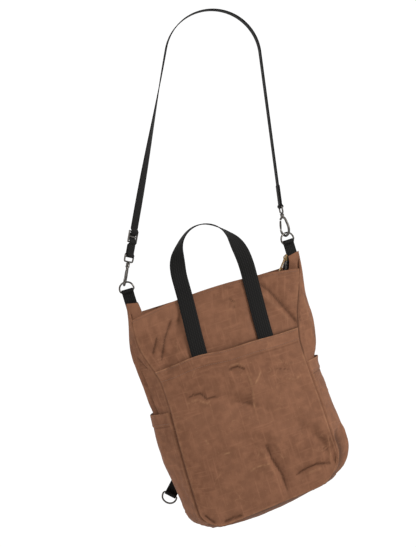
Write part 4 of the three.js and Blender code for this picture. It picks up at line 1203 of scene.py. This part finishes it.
class BACKPACK_OT_panels(bpy.types.Operator):
    """Make the front, back, sides, base and top facings of canvas"""

    bl_idname = "backpack.panels"
    bl_label = "Canvas panels"

    def execute(self, context):
        cell = sizes().cell / MM
        across = edged(-LOW_SEAM, LOW_SEAM, int(2 * LOW_SEAM / cell)) / LOW_SEAM
        a, row = np.meshgrid(across, edged(0, FRONT_TOP, int(FRONT_TOP / cell), True, False))
        outer, pale_and_shade = front_surface(a, row)
        # Painted shadow on the front panel just above the pocket's hem.
        pale_and_shade = pale_and_shade - hem_shade(a, row)
        SURFACES["front_panel"] = outer, row[:, 0]
        sewn_sheet("front_panel", outer, pale_and_shade)
        across = edged(-LOW_SEAM, LOW_SEAM, int(LOW_SEAM / cell)) / LOW_SEAM
        rows = edged(0, FRONT_TOP, int(FRONT_TOP / cell / BACK_COARSE), True, False)
        a, row = np.meshgrid(across[::-1], rows)
        outer = back_surface(a, row)
        SURFACES["back_panel"] = outer, row[:, 0]
        sewn_sheet("back_panel", outer, np.zeros_like(a))
        for name, (sign, _, _) in CORNERS.items():
            stations = side_stations(name, int(SIDE_LENGTH / cell))
            t = edged(0, BAND_DEPTH, int(SIDE_ACROSS / cell)) / BAND_DEPTH
            outer, pale_and_shade = band_surface(stations, t if sign < 0 else t[::-1], 0.0, name)
            sewn_sheet(f"side_panel_{name}", outer, pale_and_shade)
        stations = base_stations(int(LOW_SEAM / cell))
        t = edged(0, BAND_DEPTH, int(BASE_ACROSS / cell)) / BAND_DEPTH
        outer, pale_and_shade = band_surface(stations, t, 0.0, "base")
        # Painted shade on the base: deepest beside its front seam, below the pocket, and a little over the
        # whole underside.
        fading = np.exp(-((1 - t) * BAND_DEPTH / BASE_SHADE_WIDTH) ** 2)
        pale_and_shade = pale_and_shade - BASE_SHADE * fading - BASE_SHADE / 6
        outer, pale_and_shade = np.swapaxes(outer, 0, 1), np.swapaxes(pale_and_shade, 0, 1)
        sewn_sheet("base_panel", outer, pale_and_shade)
        for name, sign in (("front", -1), ("back", 1)):
            outer = self.facing(sign, cell)
            sewn_sheet(f"top_facing_{name}", outer, np.zeros(outer.shape[:2]))
        return {"FINISHED"}

    def facing(self, sign, cell):
        """Strip of cloth between a top edge and the zip."""
        share = np.linspace(-1, 1, int(FACING_LENGTH / cell))
        share = np.concatenate([-1 - FACING_STEPS[::-1], share, 1 + FACING_STEPS])
        place, _, side, face = zip_frame(np.clip(share, -1, 1) * ZIP_END)
        reach = -ZIP_FRONT_EDGE if sign < 0 else ZIP_BACK_EDGE
        inner = place + side * reach + face * TAPE_THICK / 2
        beyond = np.clip(np.abs(share) - 1, 0, None) / FACING_STEPS[-1]
        inner[:, 0] += np.sign(share) * beyond * (np.where(share < 0, *FACING_ENDS) - ZIP_HALF * ZIP_END)
        inner[:, 1] += FACING_BACK * beyond ** 2 * (sign < 0)
        inner[:, 2] -= sign * beyond * FACING_RISE
        inner = zip_twisted(inner)
        share = np.clip(share, -1, 1) * lerp(FACING_SPAN, FACING_REACH, beyond)
        rows = np.full_like(share, FRONT_TOP)
        edge = front_surface(share, rows)[0] if sign < 0 else back_surface(share, rows)
        edge = edge + np.array((0, -sign * (CANVAS + FACING_GAPS * GAP), -FACING_DROP))
        t = np.linspace(0, 1, 9)[:, None, None]
        return lerp(edge, inner, t) if sign < 0 else lerp(inner, edge, t)


class BACKPACK_OT_pockets(bpy.types.Operator):
    """Make the front slip pocket and the two side slip pockets with their hems"""

    bl_idname = "backpack.pockets"
    bl_label = "Slip pockets"

    def execute(self, context):
        cell = sizes().cell / MM
        hem = FRONT_POCKET["hem"]
        across = edged(-LOW_SEAM, LOW_SEAM, int(2 * LOW_SEAM / cell)) / LOW_SEAM
        a, row = np.meshgrid(across, edged(0, hem, int(hem / cell)))
        step = lerp(HEM_SOFT, 2 * HEM_STEP, smooth(a, *HEM_SOFT_SPAN))
        fold = smooth(row, hem - HEM_HEIGHT - step, hem - HEM_HEIGHT + step) * HEM_EXTRA
        open_by = FRONT_POCKET["mouth_gap"] * (1 - a * a) * smooth(row, POCKET_OPENS, hem)
        turned_in, thickness = free_edge(hem - row, CANVAS + fold)
        off = CANVAS + FRONT_POCKET["stand_off"] + open_by + fold - turned_in
        lift = hem_lift(a) * smooth(row, hem - HEM_WAVE_REACH, hem)
        outer, pale_and_shade = front_surface(a, row + lift, off)
        pale_and_shade = pale_and_shade + HEM_PALE * np.exp(-((hem - row) / HEM_PALE_WIDTH) ** 2)
        SURFACES["front_pocket"] = outer, row[:, 0]
        sewn_sheet("front_pocket", outer, pale_and_shade, thickness)
        for name, (hem, mouth_gap) in SIDE_POCKETS.items():
            self.side_pocket(name, hem, mouth_gap, cell)
        return {"FINISHED"}

    def side_pocket(self, name, hem, mouth_gap, cell):
        sign, radius, low = CORNERS[name]
        turn = np.linspace(CORNER_SPLIT, 0, CORNER_STEPS)
        rise = edged(low + radius, hem, int((hem - low - radius) / cell), False, True)[1:]
        stations = joined_stations([corner_stations(name, turn), straight_stations(sign, rise)])
        t = edged(0, BAND_DEPTH, int(POCKET_ACROSS / cell)) / BAND_DEPTH
        t = t if sign < 0 else t[::-1]
        z = stations["z"][:, None]
        fold = smooth(z, hem - HEM_HEIGHT - HEM_STEP, hem - HEM_HEIGHT + HEM_STEP) * HEM_EXTRA
        fold = fold * (np.arange(len(z)) >= len(turn))[:, None]
        open_by = mouth_gap * np.sin(math.pi * t) * smooth(z, low + radius, hem)
        turned_in, thickness = free_edge(hem - z, CANVAS + fold)
        low_end = np.append((CORNER_SPLIT - turn) * radius, np.full(len(rise), radius))[:, None]
        off = (CANVAS + POCKET_GAPS * GAP + open_by + fold - turned_in) * smooth(low_end, *POCKET_LEAVES)
        outer, pale_and_shade = band_surface(stations, t, off, f"pocket_{name}")
        pale_and_shade = pale_and_shade + HEM_PALE * np.exp(-((hem - z) / HEM_PALE_WIDTH) ** 2)
        SURFACES[f"side_pocket_{name}"] = outer, stations["z"]
        sewn_sheet(f"side_pocket_{name}", outer, pale_and_shade, thickness)


class BACKPACK_OT_stitches(bpy.types.Operator):
    """Sew the hems and top edges"""

    bl_idname = "backpack.stitches"
    bl_label = "Stitches"

    def execute(self, context):
        outer, rows = SURFACES["front_pocket"]
        hem = FRONT_POCKET["hem"]
        below = (HEM_HEIGHT - HEM_STITCH, EDGE_STITCH)
        stitching("front_pocket_stitches", [surface_row(outer, rows, hem - d) for d in below])
        for name, (hem, _) in SIDE_POCKETS.items():
            outer, heights = SURFACES[f"side_pocket_{name}"]
            line = surface_row(outer, heights, hem - HEM_HEIGHT + HEM_STITCH, trim=0.04)
            stitching(f"side_pocket_{name}_stitches", [line])
        for node in ("front_panel", "back_panel"):
            outer, rows = SURFACES[node]
            line = surface_row(outer, rows, FRONT_TOP - TOP_STITCH, trim=0.015)
            stitching(f"{node}_stitches", [line])
        return {"FINISHED"}


class BACKPACK_OT_zip(bpy.types.Operator):
    """Make the zip tapes, the two rows of teeth, the slider and its pull"""

    bl_idname = "backpack.zip"
    bl_label = "Zip"

    def execute(self, context):
        for node in ("zip_tape_front", "zip_tape_back"):
            place, side, face, _ = strip_frame(node, 0.002)
            corners = strip_stations(node)
            spans = np.linalg.norm(corners - np.roll(corners, 1, axis=1), axis=-1).mean(0)
            mesh = band_mesh(f"{node}_band", place, side, face, spans.max(), spans.min())
            finished(linked(f"{node}_band", twisted_mesh(mesh)), "zip_tape", [node])
        self.teeth()
        for node, body in (("zip_slider", BAG), ("zip_pull", "pull")):
            softened(node, ZIP_EDGE, "antique_brass", body)
        return {"FINISHED"}

    def teeth(self):
        """Two rows of teeth that mesh at the middle of the chain."""
        pitch = sizes().tooth_pitch
        place, side, face, along = strip_frame("zip_chain", pitch / 2)
        corners = np.array(list(itertools.product((-1, 1), repeat=3)), float)
        quads = ((0, 1, 3, 2), (4, 6, 7, 5), (0, 4, 5, 1), (2, 3, 7, 6), (0, 2, 6, 4), (1, 5, 7, 3))
        half = np.array((pitch * TOOTH_LENGTH, *TOOTH_HALF))
        vertices, faces = [], []
        for k in range(1, len(place) - 1):
            row = 1 if k % 2 else -1
            first = len(vertices)
            for long, wide, high in corners:
                head = 1.0 if wide * row < 0 else TOOTH_NECK
                offset = along[k] * long * half[0] * head + face[k] * high * half[2]
                vertices.append(place[k] + offset + side[k] * (row * TOOTH_SHIFT + wide * half[1]))
            faces += [[first + v for v in quad] for quad in quads]
        mesh = turned_out(mesh_of("zip_teeth", np.array(vertices), faces))
        piece = linked("zip_teeth", twisted_mesh(mesh))
        applied(piece, "BEVEL", width=TOOTH_EDGE, segments=1)
        finished(piece, "zip_chain", ["zip_chain"], angle=METAL_ANGLE)


def softened(node, width, slot, body=BAG):
    """A copy of a hard node with rounded edges, which stands for it."""
    piece = welded_copy(f"{node}_metal", node)
    bpy.ops.mesh.dissolve_limited(angle_limit=FLAT_ANGLE)
    bpy.ops.object.mode_set(mode="OBJECT")
    applied(piece, "BEVEL", width=width, segments=3, limit_method="ANGLE", angle_limit=EDGE_ANGLE)
    finished(piece, slot, [node], body, angle=SOFT_EDGE_ANGLE)


class BACKPACK_OT_handle(bpy.types.Operator):
    """Make the webbing handle on the front"""

    bl_idname = "backpack.handle"
    bl_label = "Handle"

    def execute(self, context):
        size = sizes()
        place, side, face, _ = strip_frame("handle", 0.003)
        mesh = band_mesh("handle_webbing", place, side, face, size.handle_width, size.webbing)
        finished(linked("handle_webbing", mesh), "webbing", ["handle"])
        return {"FINISHED"}


def fold_line(length, bar, thickness):
    """Profile of a folded tab: up one side, round a bar and down the other, with its faces."""
    wrap = bar + GAP * MM + thickness / 2
    flat = thickness / 2 + HAIR
    start = math.acos(flat / wrap)
    turn = np.linspace(-start, math.pi + start, 20)
    arc = np.stack([wrap * np.cos(turn), length + wrap * np.sin(turn)], -1)
    low = np.linspace(0, arc[0, 1], 8)[:-1]
    up = np.stack([np.full_like(low, flat), low], -1)
    line = np.concatenate([up, arc, up[::-1] * (-1, 1)])
    along = unit(np.gradient(line, axis=0))
    return line, np.stack([along[:, 1], -along[:, 0]], -1)


def folded_band(name, root, along, across, length, width, bar):
    """Webbing that is folded round a bar, as a mesh in the row frame."""
    thickness = sizes().webbing
    line, faces = fold_line(length, bar, thickness)
    along, across = np.array(along), np.array(across)
    out = np.cross(along, across)
    places = np.array(root) + line[:, :1] * out + line[:, 1:] * along
    outward = faces[:, :1] * out + faces[:, 1:] * along
    sides = np.broadcast_to(across, places.shape)
    return band_mesh(name, places, sides, outward, width, thickness)


def ring_frame(node, along):
    """Middle of a ring's straight bar, and the direction of the bar."""
    co = np.array([v.co[:] for v in frame["nodes"][node].data.vertices])
    middle = co.mean(0)
    _, axes = np.linalg.eigh(np.cov((co - middle).T))
    across = unit(np.cross(np.array(along), axes[:, 0]))
    heights = (co - middle) @ np.array(along)
    low = heights.min() + sizes().ring_wire
    centre = middle + np.array(along) * low
    return Vector(centre), Vector(across)


BAG_UP = turned((0, 0, 1))


class BACKPACK_OT_tabs(bpy.types.Operator):
    """Make the folded webbing tabs that hold the rings"""

    bl_idname = "backpack.tabs"
    bl_label = "Ring tabs"

    def execute(self, context):
        for name in CORNERS:
            bar, across = ring_frame(f"d_ring_{name}", BAG_UP)
            self.tab(f"tab_{name}", bar, BAG_UP, across, TOP_TAB)
            joint = JOINTS[f"ring_{name}_hinge"]
            across = Vector(joint["axis"])
            down = across.cross(Vector((0, 1, 0))).normalized()
            low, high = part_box(f"lower_ring_{name}")
            bar = Vector(joint["pos_m"])
            if ((low + high) / 2 - bar).dot(down) < 0:
                down.negate()
            self.tab(f"lower_tab_{name}", bar, down, across, LOWER_TABS[name])
        return {"FINISHED"}

    def tab(self, node, bar, along, across, length):
        size = sizes()
        root = bar - along * length
        mesh = folded_band(f"{node}_webbing", root, along, across, length, size.tab_width, size.ring_wire)
        finished(linked(f"{node}_webbing", mesh), "webbing", [node])
        out = np.array(along.cross(across))
        face = size.webbing + HAIR
        edge = size.tab_width / 2 - TAB_STITCH_INSET
        rows = []
        for sign, below in itertools.product((-1, 1), TAB_STITCHES):
            t = np.linspace(-edge, edge, 8)[:, None]
            line = np.array(root + along * (length - below)) + np.array(across) * t + out * sign * face
            rows.append((line, np.tile(out * sign, (8, 1))))
        stitching(f"{node}_stitches", rows, "webbing", "webbing")


class BACKPACK_OT_rings(bpy.types.Operator):
    """Round off the wire of the four D-rings"""

    bl_idname = "backpack.rings"
    bl_label = "D-rings"

    def execute(self, context):
        for name in CORNERS:
            self.ring(f"d_ring_{name}", BAG)
            self.ring(f"lower_ring_{name}", f"ring_{name}")
        return {"FINISHED"}

    def ring(self, node, body):
        """A smooth copy of a six-sided ring, thickened first because smoothing thins it."""
        piece = welded_copy(f"{node}_wire", node)
        bpy.ops.mesh.tris_convert_to_quads(face_threshold=math.pi, shape_threshold=math.pi)
        bpy.ops.transform.shrink_fatten(value=sizes().ring_wire * RING_FATTEN)
        bpy.ops.object.mode_set(mode="OBJECT")
        applied(piece, "SUBSURF", levels=2, render_levels=2)
        finished(piece, "gunmetal", [node], body)


def wire_mesh(name, points, radius, closed=False, radii=None):
    """A round wire along points in metres, with filled ends."""
    curve = bpy.data.curves.new(name, "CURVE")
    curve.dimensions = "3D"
    curve.bevel_depth = radius
    curve.bevel_resolution = 4
    curve.use_fill_caps = not closed
    line = curve.splines.new("POLY")
    line.points.add(len(points) - 1)
    line.use_cyclic_u = closed
    for k, (point, place) in enumerate(zip(line.points, points)):
        point.co = (*place, 1)
        point.radius = 1.0 if radii is None else radii[k]
    piece = linked(name, curve)
    only(piece)
    bpy.ops.object.convert(target="MESH")
    made = bpy.context.view_layer.objects.active
    turned_out(made.data)
    return made


def lathe_mesh(name, profile, matrix):
    """A turned piece from radii and heights in metres, closed at both ends."""
    turn = np.arange(LATHE_SIDES) * 2 * math.pi / LATHE_SIDES
    rings = [np.stack([r * np.cos(turn), r * np.sin(turn), np.full_like(turn, h)], -1) for r, h in profile]
    a = np.arange(len(profile) * LATHE_SIDES).reshape(-1, LATHE_SIDES)
    b = np.roll(a, -1, axis=1)
    skin = np.stack([a[:-1], b[:-1], b[1:], a[1:]], -1).reshape(-1, 4)
    mesh = mesh_of(name, np.concatenate(rings), [*skin, a[0][::-1], a[-1]])
    mesh.transform(matrix)
    return linked(name, turned_out(mesh))


def unite(piece, other):
    """Joins another closed piece into a piece's skin."""
    applied(piece, "BOOLEAN", operation="UNION", object=other, solver="EXACT")
    bpy.data.objects.remove(other)


def hook_frame(name):
    """A hook's directions and seat, from the hinge of its gate."""
    joint = JOINTS[f"gate_{name}_hinge"]
    y = -Vector(joint["axis"])
    z = Vector((-y.z / y.x, 0, 1)).normalized()
    x = y.cross(z)
    seat = Vector(joint["pos_m"]) - (x * GATE_PIVOT[0] + z * GATE_PIVOT[1]) * MM
    right = Vector((0, 1, 0)).cross(z).normalized()
    right.rotate(Quaternion(z, EYE_YAW[name]))
    hook = Matrix((x, y, z)).transposed().to_4x4()
    eye = Matrix((right, z.cross(right), z)).transposed().to_4x4()
    for matrix in (hook, eye):
        matrix.translation = seat
    return hook, eye


def placed(matrix, points):
    """Local (x, z) places in millimetres as row places."""
    return np.array([matrix @ Vector((x * MM, 0, z * MM)) for x, z in points])


class BACKPACK_OT_hooks(bpy.types.Operator):
    """Make the two snap hooks with their swivel eyes and gates"""

    bl_idname = "backpack.hooks"
    bl_label = "Snap hooks"

    def execute(self, context):
        for name in CORNERS:
            hook, eye = hook_frame(name)
            self.body(name, hook)
            self.gate(name, hook)
            self.eye(name, eye)
        return {"FINISHED"}

    def body(self, name, hook):
        size = sizes()
        line = evened(placed(hook, HOOK_LINE), HOOK_STEP)
        share = np.linspace(0, 1, len(line))
        radii = lerp(HOOK_THIN, 1, np.sin(math.pi * share) ** HOOK_POWER)
        wire = wire_mesh(f"hook_{name}_body", line, size.hook_wire, radii=radii)
        low, high, radius = BARREL
        profile = [
            (0.4, low + 0.2), (radius * 0.72, low), (radius * 0.97, low + 0.9), (radius, low + 1.6),
            (radius * 0.86, low + 2.2), (radius * 0.86, high - 1.9), (radius, high - 1.4),
            (radius, high - 0.5), (radius * 0.8, high), (0.4, high),
        ]
        barrel = lathe_mesh("barrel", [(r * MM, h * MM) for r, h in profile], hook)
        unite(wire, barrel)
        finished(wire, "gunmetal", [f"hook_{name}"], angle=METAL_ANGLE)

    def gate(self, name, hook):
        line = evened(placed(hook, GATE_LINE), GATE_STEP)
        share = np.linspace(0, 1, len(line))
        radii = lerp(GATE_THIN, 1, np.sin(math.pi * share))
        wire = wire_mesh(f"hook_gate_{name}_lever", line, GATE_WIRE, radii=radii)
        finished(wire, "gunmetal", [f"hook_gate_{name}"], f"gate_{name}", angle=METAL_ANGLE)

    def eye(self, name, eye):
        size = sizes()
        half = size.strap_width / 2 / MM + EYE_MARGIN
        points = [
            (-half * 0.5, EYE_LOW), (half * 0.5, EYE_LOW), (half * 0.92, EYE_LOW + 0.6), (half, EYE_LOW + 3),
            (half, EYE_BAR - 3), (half * 0.92, EYE_BAR - 0.4), (half * 0.5, EYE_BAR),
            (-half * 0.5, EYE_BAR), (-half * 0.92, EYE_BAR - 0.4), (-half, EYE_BAR - 3),
            (-half, EYE_LOW + 3), (-half * 0.92, EYE_LOW + 0.6),
        ]
        line = evened(placed(eye, points), HOOK_STEP, closed=True)
        wire = wire_mesh(f"hook_eye_{name}_wire", line, size.eye_wire, closed=True)
        top = EYE_LOW - 1.2
        profile = [
            (0.2, top - 1.2), (1.65, top - 1.1), (1.9, top),
            (2.3, top + 0.5), (1.6, top + 1.4), (0.2, top + 1.6),
        ]
        collar = lathe_mesh("collar", [(r * MM, h * MM) for r, h in profile], eye)
        unite(wire, collar)
        finished(wire, "gunmetal", [f"hook_eye_{name}"], angle=METAL_ANGLE)


class BACKPACK_OT_strap(bpy.types.Operator):
    """Make the shoulder strap, its folded ends and its slide"""

    bl_idname = "backpack.strap"
    bl_label = "Shoulder strap"

    def execute(self, context):
        size = sizes()
        ends = {}
        for name in CORNERS:
            _, eye = hook_frame(name)
            ends[name] = np.array(eye @ Vector((0, 0, EYE_BAR * MM))), np.array(eye.col[0][:3])
        places, sides, faces, runs = self.route(ends)
        mesh = band_mesh("shoulder_strap_webbing", places, sides, faces, size.strap_width, size.webbing)
        strap = linked("shoulder_strap_webbing", mesh)
        finished(strap, "webbing", ["shoulder_strap"])
        for name, (bar, across) in ends.items():
            stem = STRAP_STEMS[name] * MM
            toward = -runs[name]
            piece = f"strap_end_{name}"
            root, width = bar - toward * stem, size.strap_width
            mesh = folded_band(piece, root, toward, across, stem, width, size.eye_wire)
            finished(linked(piece, mesh), "webbing")
        softened("strap_slide", SLIDE_EDGE, "gunmetal")
        return {"FINISHED"}

    def route(self, ends):
        """Stations of the strap: up the left leg, over the crown and down the right leg."""
        size = sizes()
        centre = np.array((0, 0, -CROWN_RADIUS * MM))
        radius = CROWN_RADIUS * MM + size.webbing / 2
        turns = {}
        for name, (sign, _, _) in CORNERS.items():
            reach = ends[name][0] - centre
            far = math.hypot(reach[0], reach[2])
            turns[name] = math.atan2(reach[2], reach[0]) + sign * math.acos(radius / far)
        if turns["left"] < 0:
            turns["left"] += 2 * math.pi

        def on_crown(turn):
            return centre + radius * np.stack([np.cos(turn), 0 * turn, np.sin(turn)], -1)

        back = np.array((0, 1.0, 0))
        bar, across = ends["left"]
        top = on_crown(np.array(turns["left"]))
        length = np.linalg.norm(top - bar)
        left_run = (top - bar) / length
        close = np.arange(STRAP_START, STRAP_CLOSE_TO, STRAP_CLOSE)
        s = np.concatenate([close, np.arange(STRAP_CLOSE_TO, length, STRAP_STEP)])
        share = smooth(s, STRAP_TURN_FROM, length)[:, None]
        side = unit(lerp(across, back, share))
        d = s / MM - SLIDE_AT
        reach = SLIDE_THICK / 2 + GAP + size.webbing / MM / 2
        wave = np.where(np.abs(d) < 1.5 * SLIDE_WAVE, reach * np.cos(math.pi * d / SLIDE_WAVE), 0) * MM
        face = unit(np.cross(left_run, side))
        left_leg = bar + s[:, None] * left_run + face * wave[:, None]
        turn = np.linspace(turns["left"], turns["right"], CROWN_STEPS)
        crown = on_crown(turn)
        bar_r, _ = ends["right"]
        end = on_crown(np.array(turns["right"]))
        length_r = np.linalg.norm(bar_r - end)
        right_run = (bar_r - end) / length_r
        s = np.arange(STRAP_STEP, length_r - STRAP_START, STRAP_STEP)
        right_leg = end + s[:, None] * right_run
        places = np.concatenate([left_leg, crown, right_leg])
        sides = np.concatenate([side, np.tile(back, (len(crown) + len(right_leg), 1))])
        along = unit(np.gradient(places, axis=0))
        sides = unit(sides - along * np.sum(sides * along, -1, keepdims=True))
        faces = np.cross(along, sides)
        return places, sides, faces, {"left": left_run, "right": -right_run}


class BACKPACK_OT_stage(bpy.types.Operator):
    """Make the camera, the floor and the light"""

    bl_idname = "backpack.stage"
    bl_label = "Stage"

    def execute(self, context):
        scene = context.scene
        scene.view_settings.view_transform = "Standard"
        view = bpy.data.cameras.new("camera")
        view.sensor_width = SENSOR_WIDTH
        view.lens = CAMERA_LENS
        camera = linked("camera", view)
        back = Vector((math.sin(CAMERA_AZIMUTH), -math.cos(CAMERA_AZIMUTH), 0))
        camera.location = CAMERA_AIM + back * CAMERA_DISTANCE
        camera.rotation_mode = "QUATERNION"
        camera.rotation_quaternion = (-back).to_track_quat("-Z", "Y")
        view.clip_end = CAMERA_FAR
        scene.camera = camera
        self.floor()
        self.world(scene)
        for name, (place, size, energy) in LIGHTS.items():
            self.lamp(name, place, size, energy)
        return {"FINISHED"}

    def floor(self):
        bpy.ops.mesh.primitive_plane_add(size=FLOOR_SIZE, location=(0, 0, FLOOR_Z))
        floor = bpy.context.active_object
        floor.name = "floor"
        paint = Finish("pale_floor")
        grain = paint.noise(paint.coordinates("Object"), 3.0, 2.0)
        paint.set(base_color=paint.mix(grain, *FLOOR_TONES), roughness=FLOOR_ROUGH)
        floor.data.materials.append(paint.material)

    def world(self, scene):
        """White behind the object, brighter at the right of the camera than at the left."""
        world = bpy.data.worlds.new("studio")
        world.use_nodes = True
        tree = world.node_tree
        nodes = tree.nodes
        place = nodes.new("ShaderNodeTexCoord").outputs["Generated"]
        split = nodes.new("ShaderNodeSeparateXYZ")
        tree.links.new(place, split.inputs[0])
        mix = nodes.new("ShaderNodeMix")
        ranges = (("Y", WORLD_TURN, (0.0, 1.0), mix.inputs[0]), ("X", WORLD_SPAN, WORLD_SIDES, mix.inputs[2]))
        for axis, span, levels, target in ranges:
            made = nodes.new("ShaderNodeMapRange")
            tree.links.new(split.outputs[axis], made.inputs["Value"])
            for key, value in zip(("From Min", "From Max", "To Min", "To Max"), span + levels):
                made.inputs[key].default_value = value
            tree.links.new(made.outputs[0], target)
        mix.inputs[3].default_value = WORLD_BEHIND
        tree.links.new(mix.outputs[0], nodes["Background"].inputs["Strength"])
        nodes["Background"].inputs["Color"].default_value = (1, 1, 1, 1)
        scene.world = world

    def lamp(self, name, place, size, energy):
        light = bpy.data.lights.new(name, "AREA")
        light.size = size
        light.energy = energy
        lamp = linked(name, light)
        lamp.location = place
        lamp.rotation_mode = "QUATERNION"
        lamp.rotation_quaternion = (CAMERA_AIM - Vector(place)).to_track_quat("-Z", "Y")


class BACKPACK_PT_panel(bpy.types.Panel):
    """Lists the steps that make the backpack"""

    bl_idname = "BACKPACK_PT_panel"
    bl_label = "Backpack"
    bl_space_type = "VIEW_3D"
    bl_region_type = "UI"
    bl_category = "Backpack"

    def draw(self, context):
        for group in (context.scene.backpack_sizes, context.scene.backpack_colours):
            for name in group.__annotations__:
                self.layout.prop(group, name)
        for operator in OPERATORS:
            self.layout.operator(operator.bl_idname)


OPERATORS = (
    BACKPACK_OT_stage,
    BACKPACK_OT_panels,
    BACKPACK_OT_pockets,
    BACKPACK_OT_stitches,
    BACKPACK_OT_zip,
    BACKPACK_OT_handle,
    BACKPACK_OT_tabs,
    BACKPACK_OT_rings,
    BACKPACK_OT_hooks,
    BACKPACK_OT_strap,
)
CLASSES = (BackpackSizes, BackpackColours, *OPERATORS, BACKPACK_PT_panel)


def register():
    for cls in CLASSES:
        bpy.utils.register_class(cls)
    bpy.types.Scene.backpack_sizes = bpy.props.PointerProperty(type=BackpackSizes)
    bpy.types.Scene.backpack_colours = bpy.props.PointerProperty(type=BackpackColours)


def unregister():
    del bpy.types.Scene.backpack_colours
    del bpy.types.Scene.backpack_sizes
    for cls in reversed(CLASSES):
        bpy.utils.unregister_class(cls)


def main():
    register()
    bpy.ops.backpack.stage()
    bpy.ops.backpack.panels()
    bpy.ops.backpack.pockets()
    bpy.ops.backpack.stitches()
    bpy.ops.backpack.zip()
    bpy.ops.backpack.handle()
    bpy.ops.backpack.tabs()
    bpy.ops.backpack.rings()
    bpy.ops.backpack.hooks()
    bpy.ops.backpack.strap()


if __name__ == "__main__":
    main()
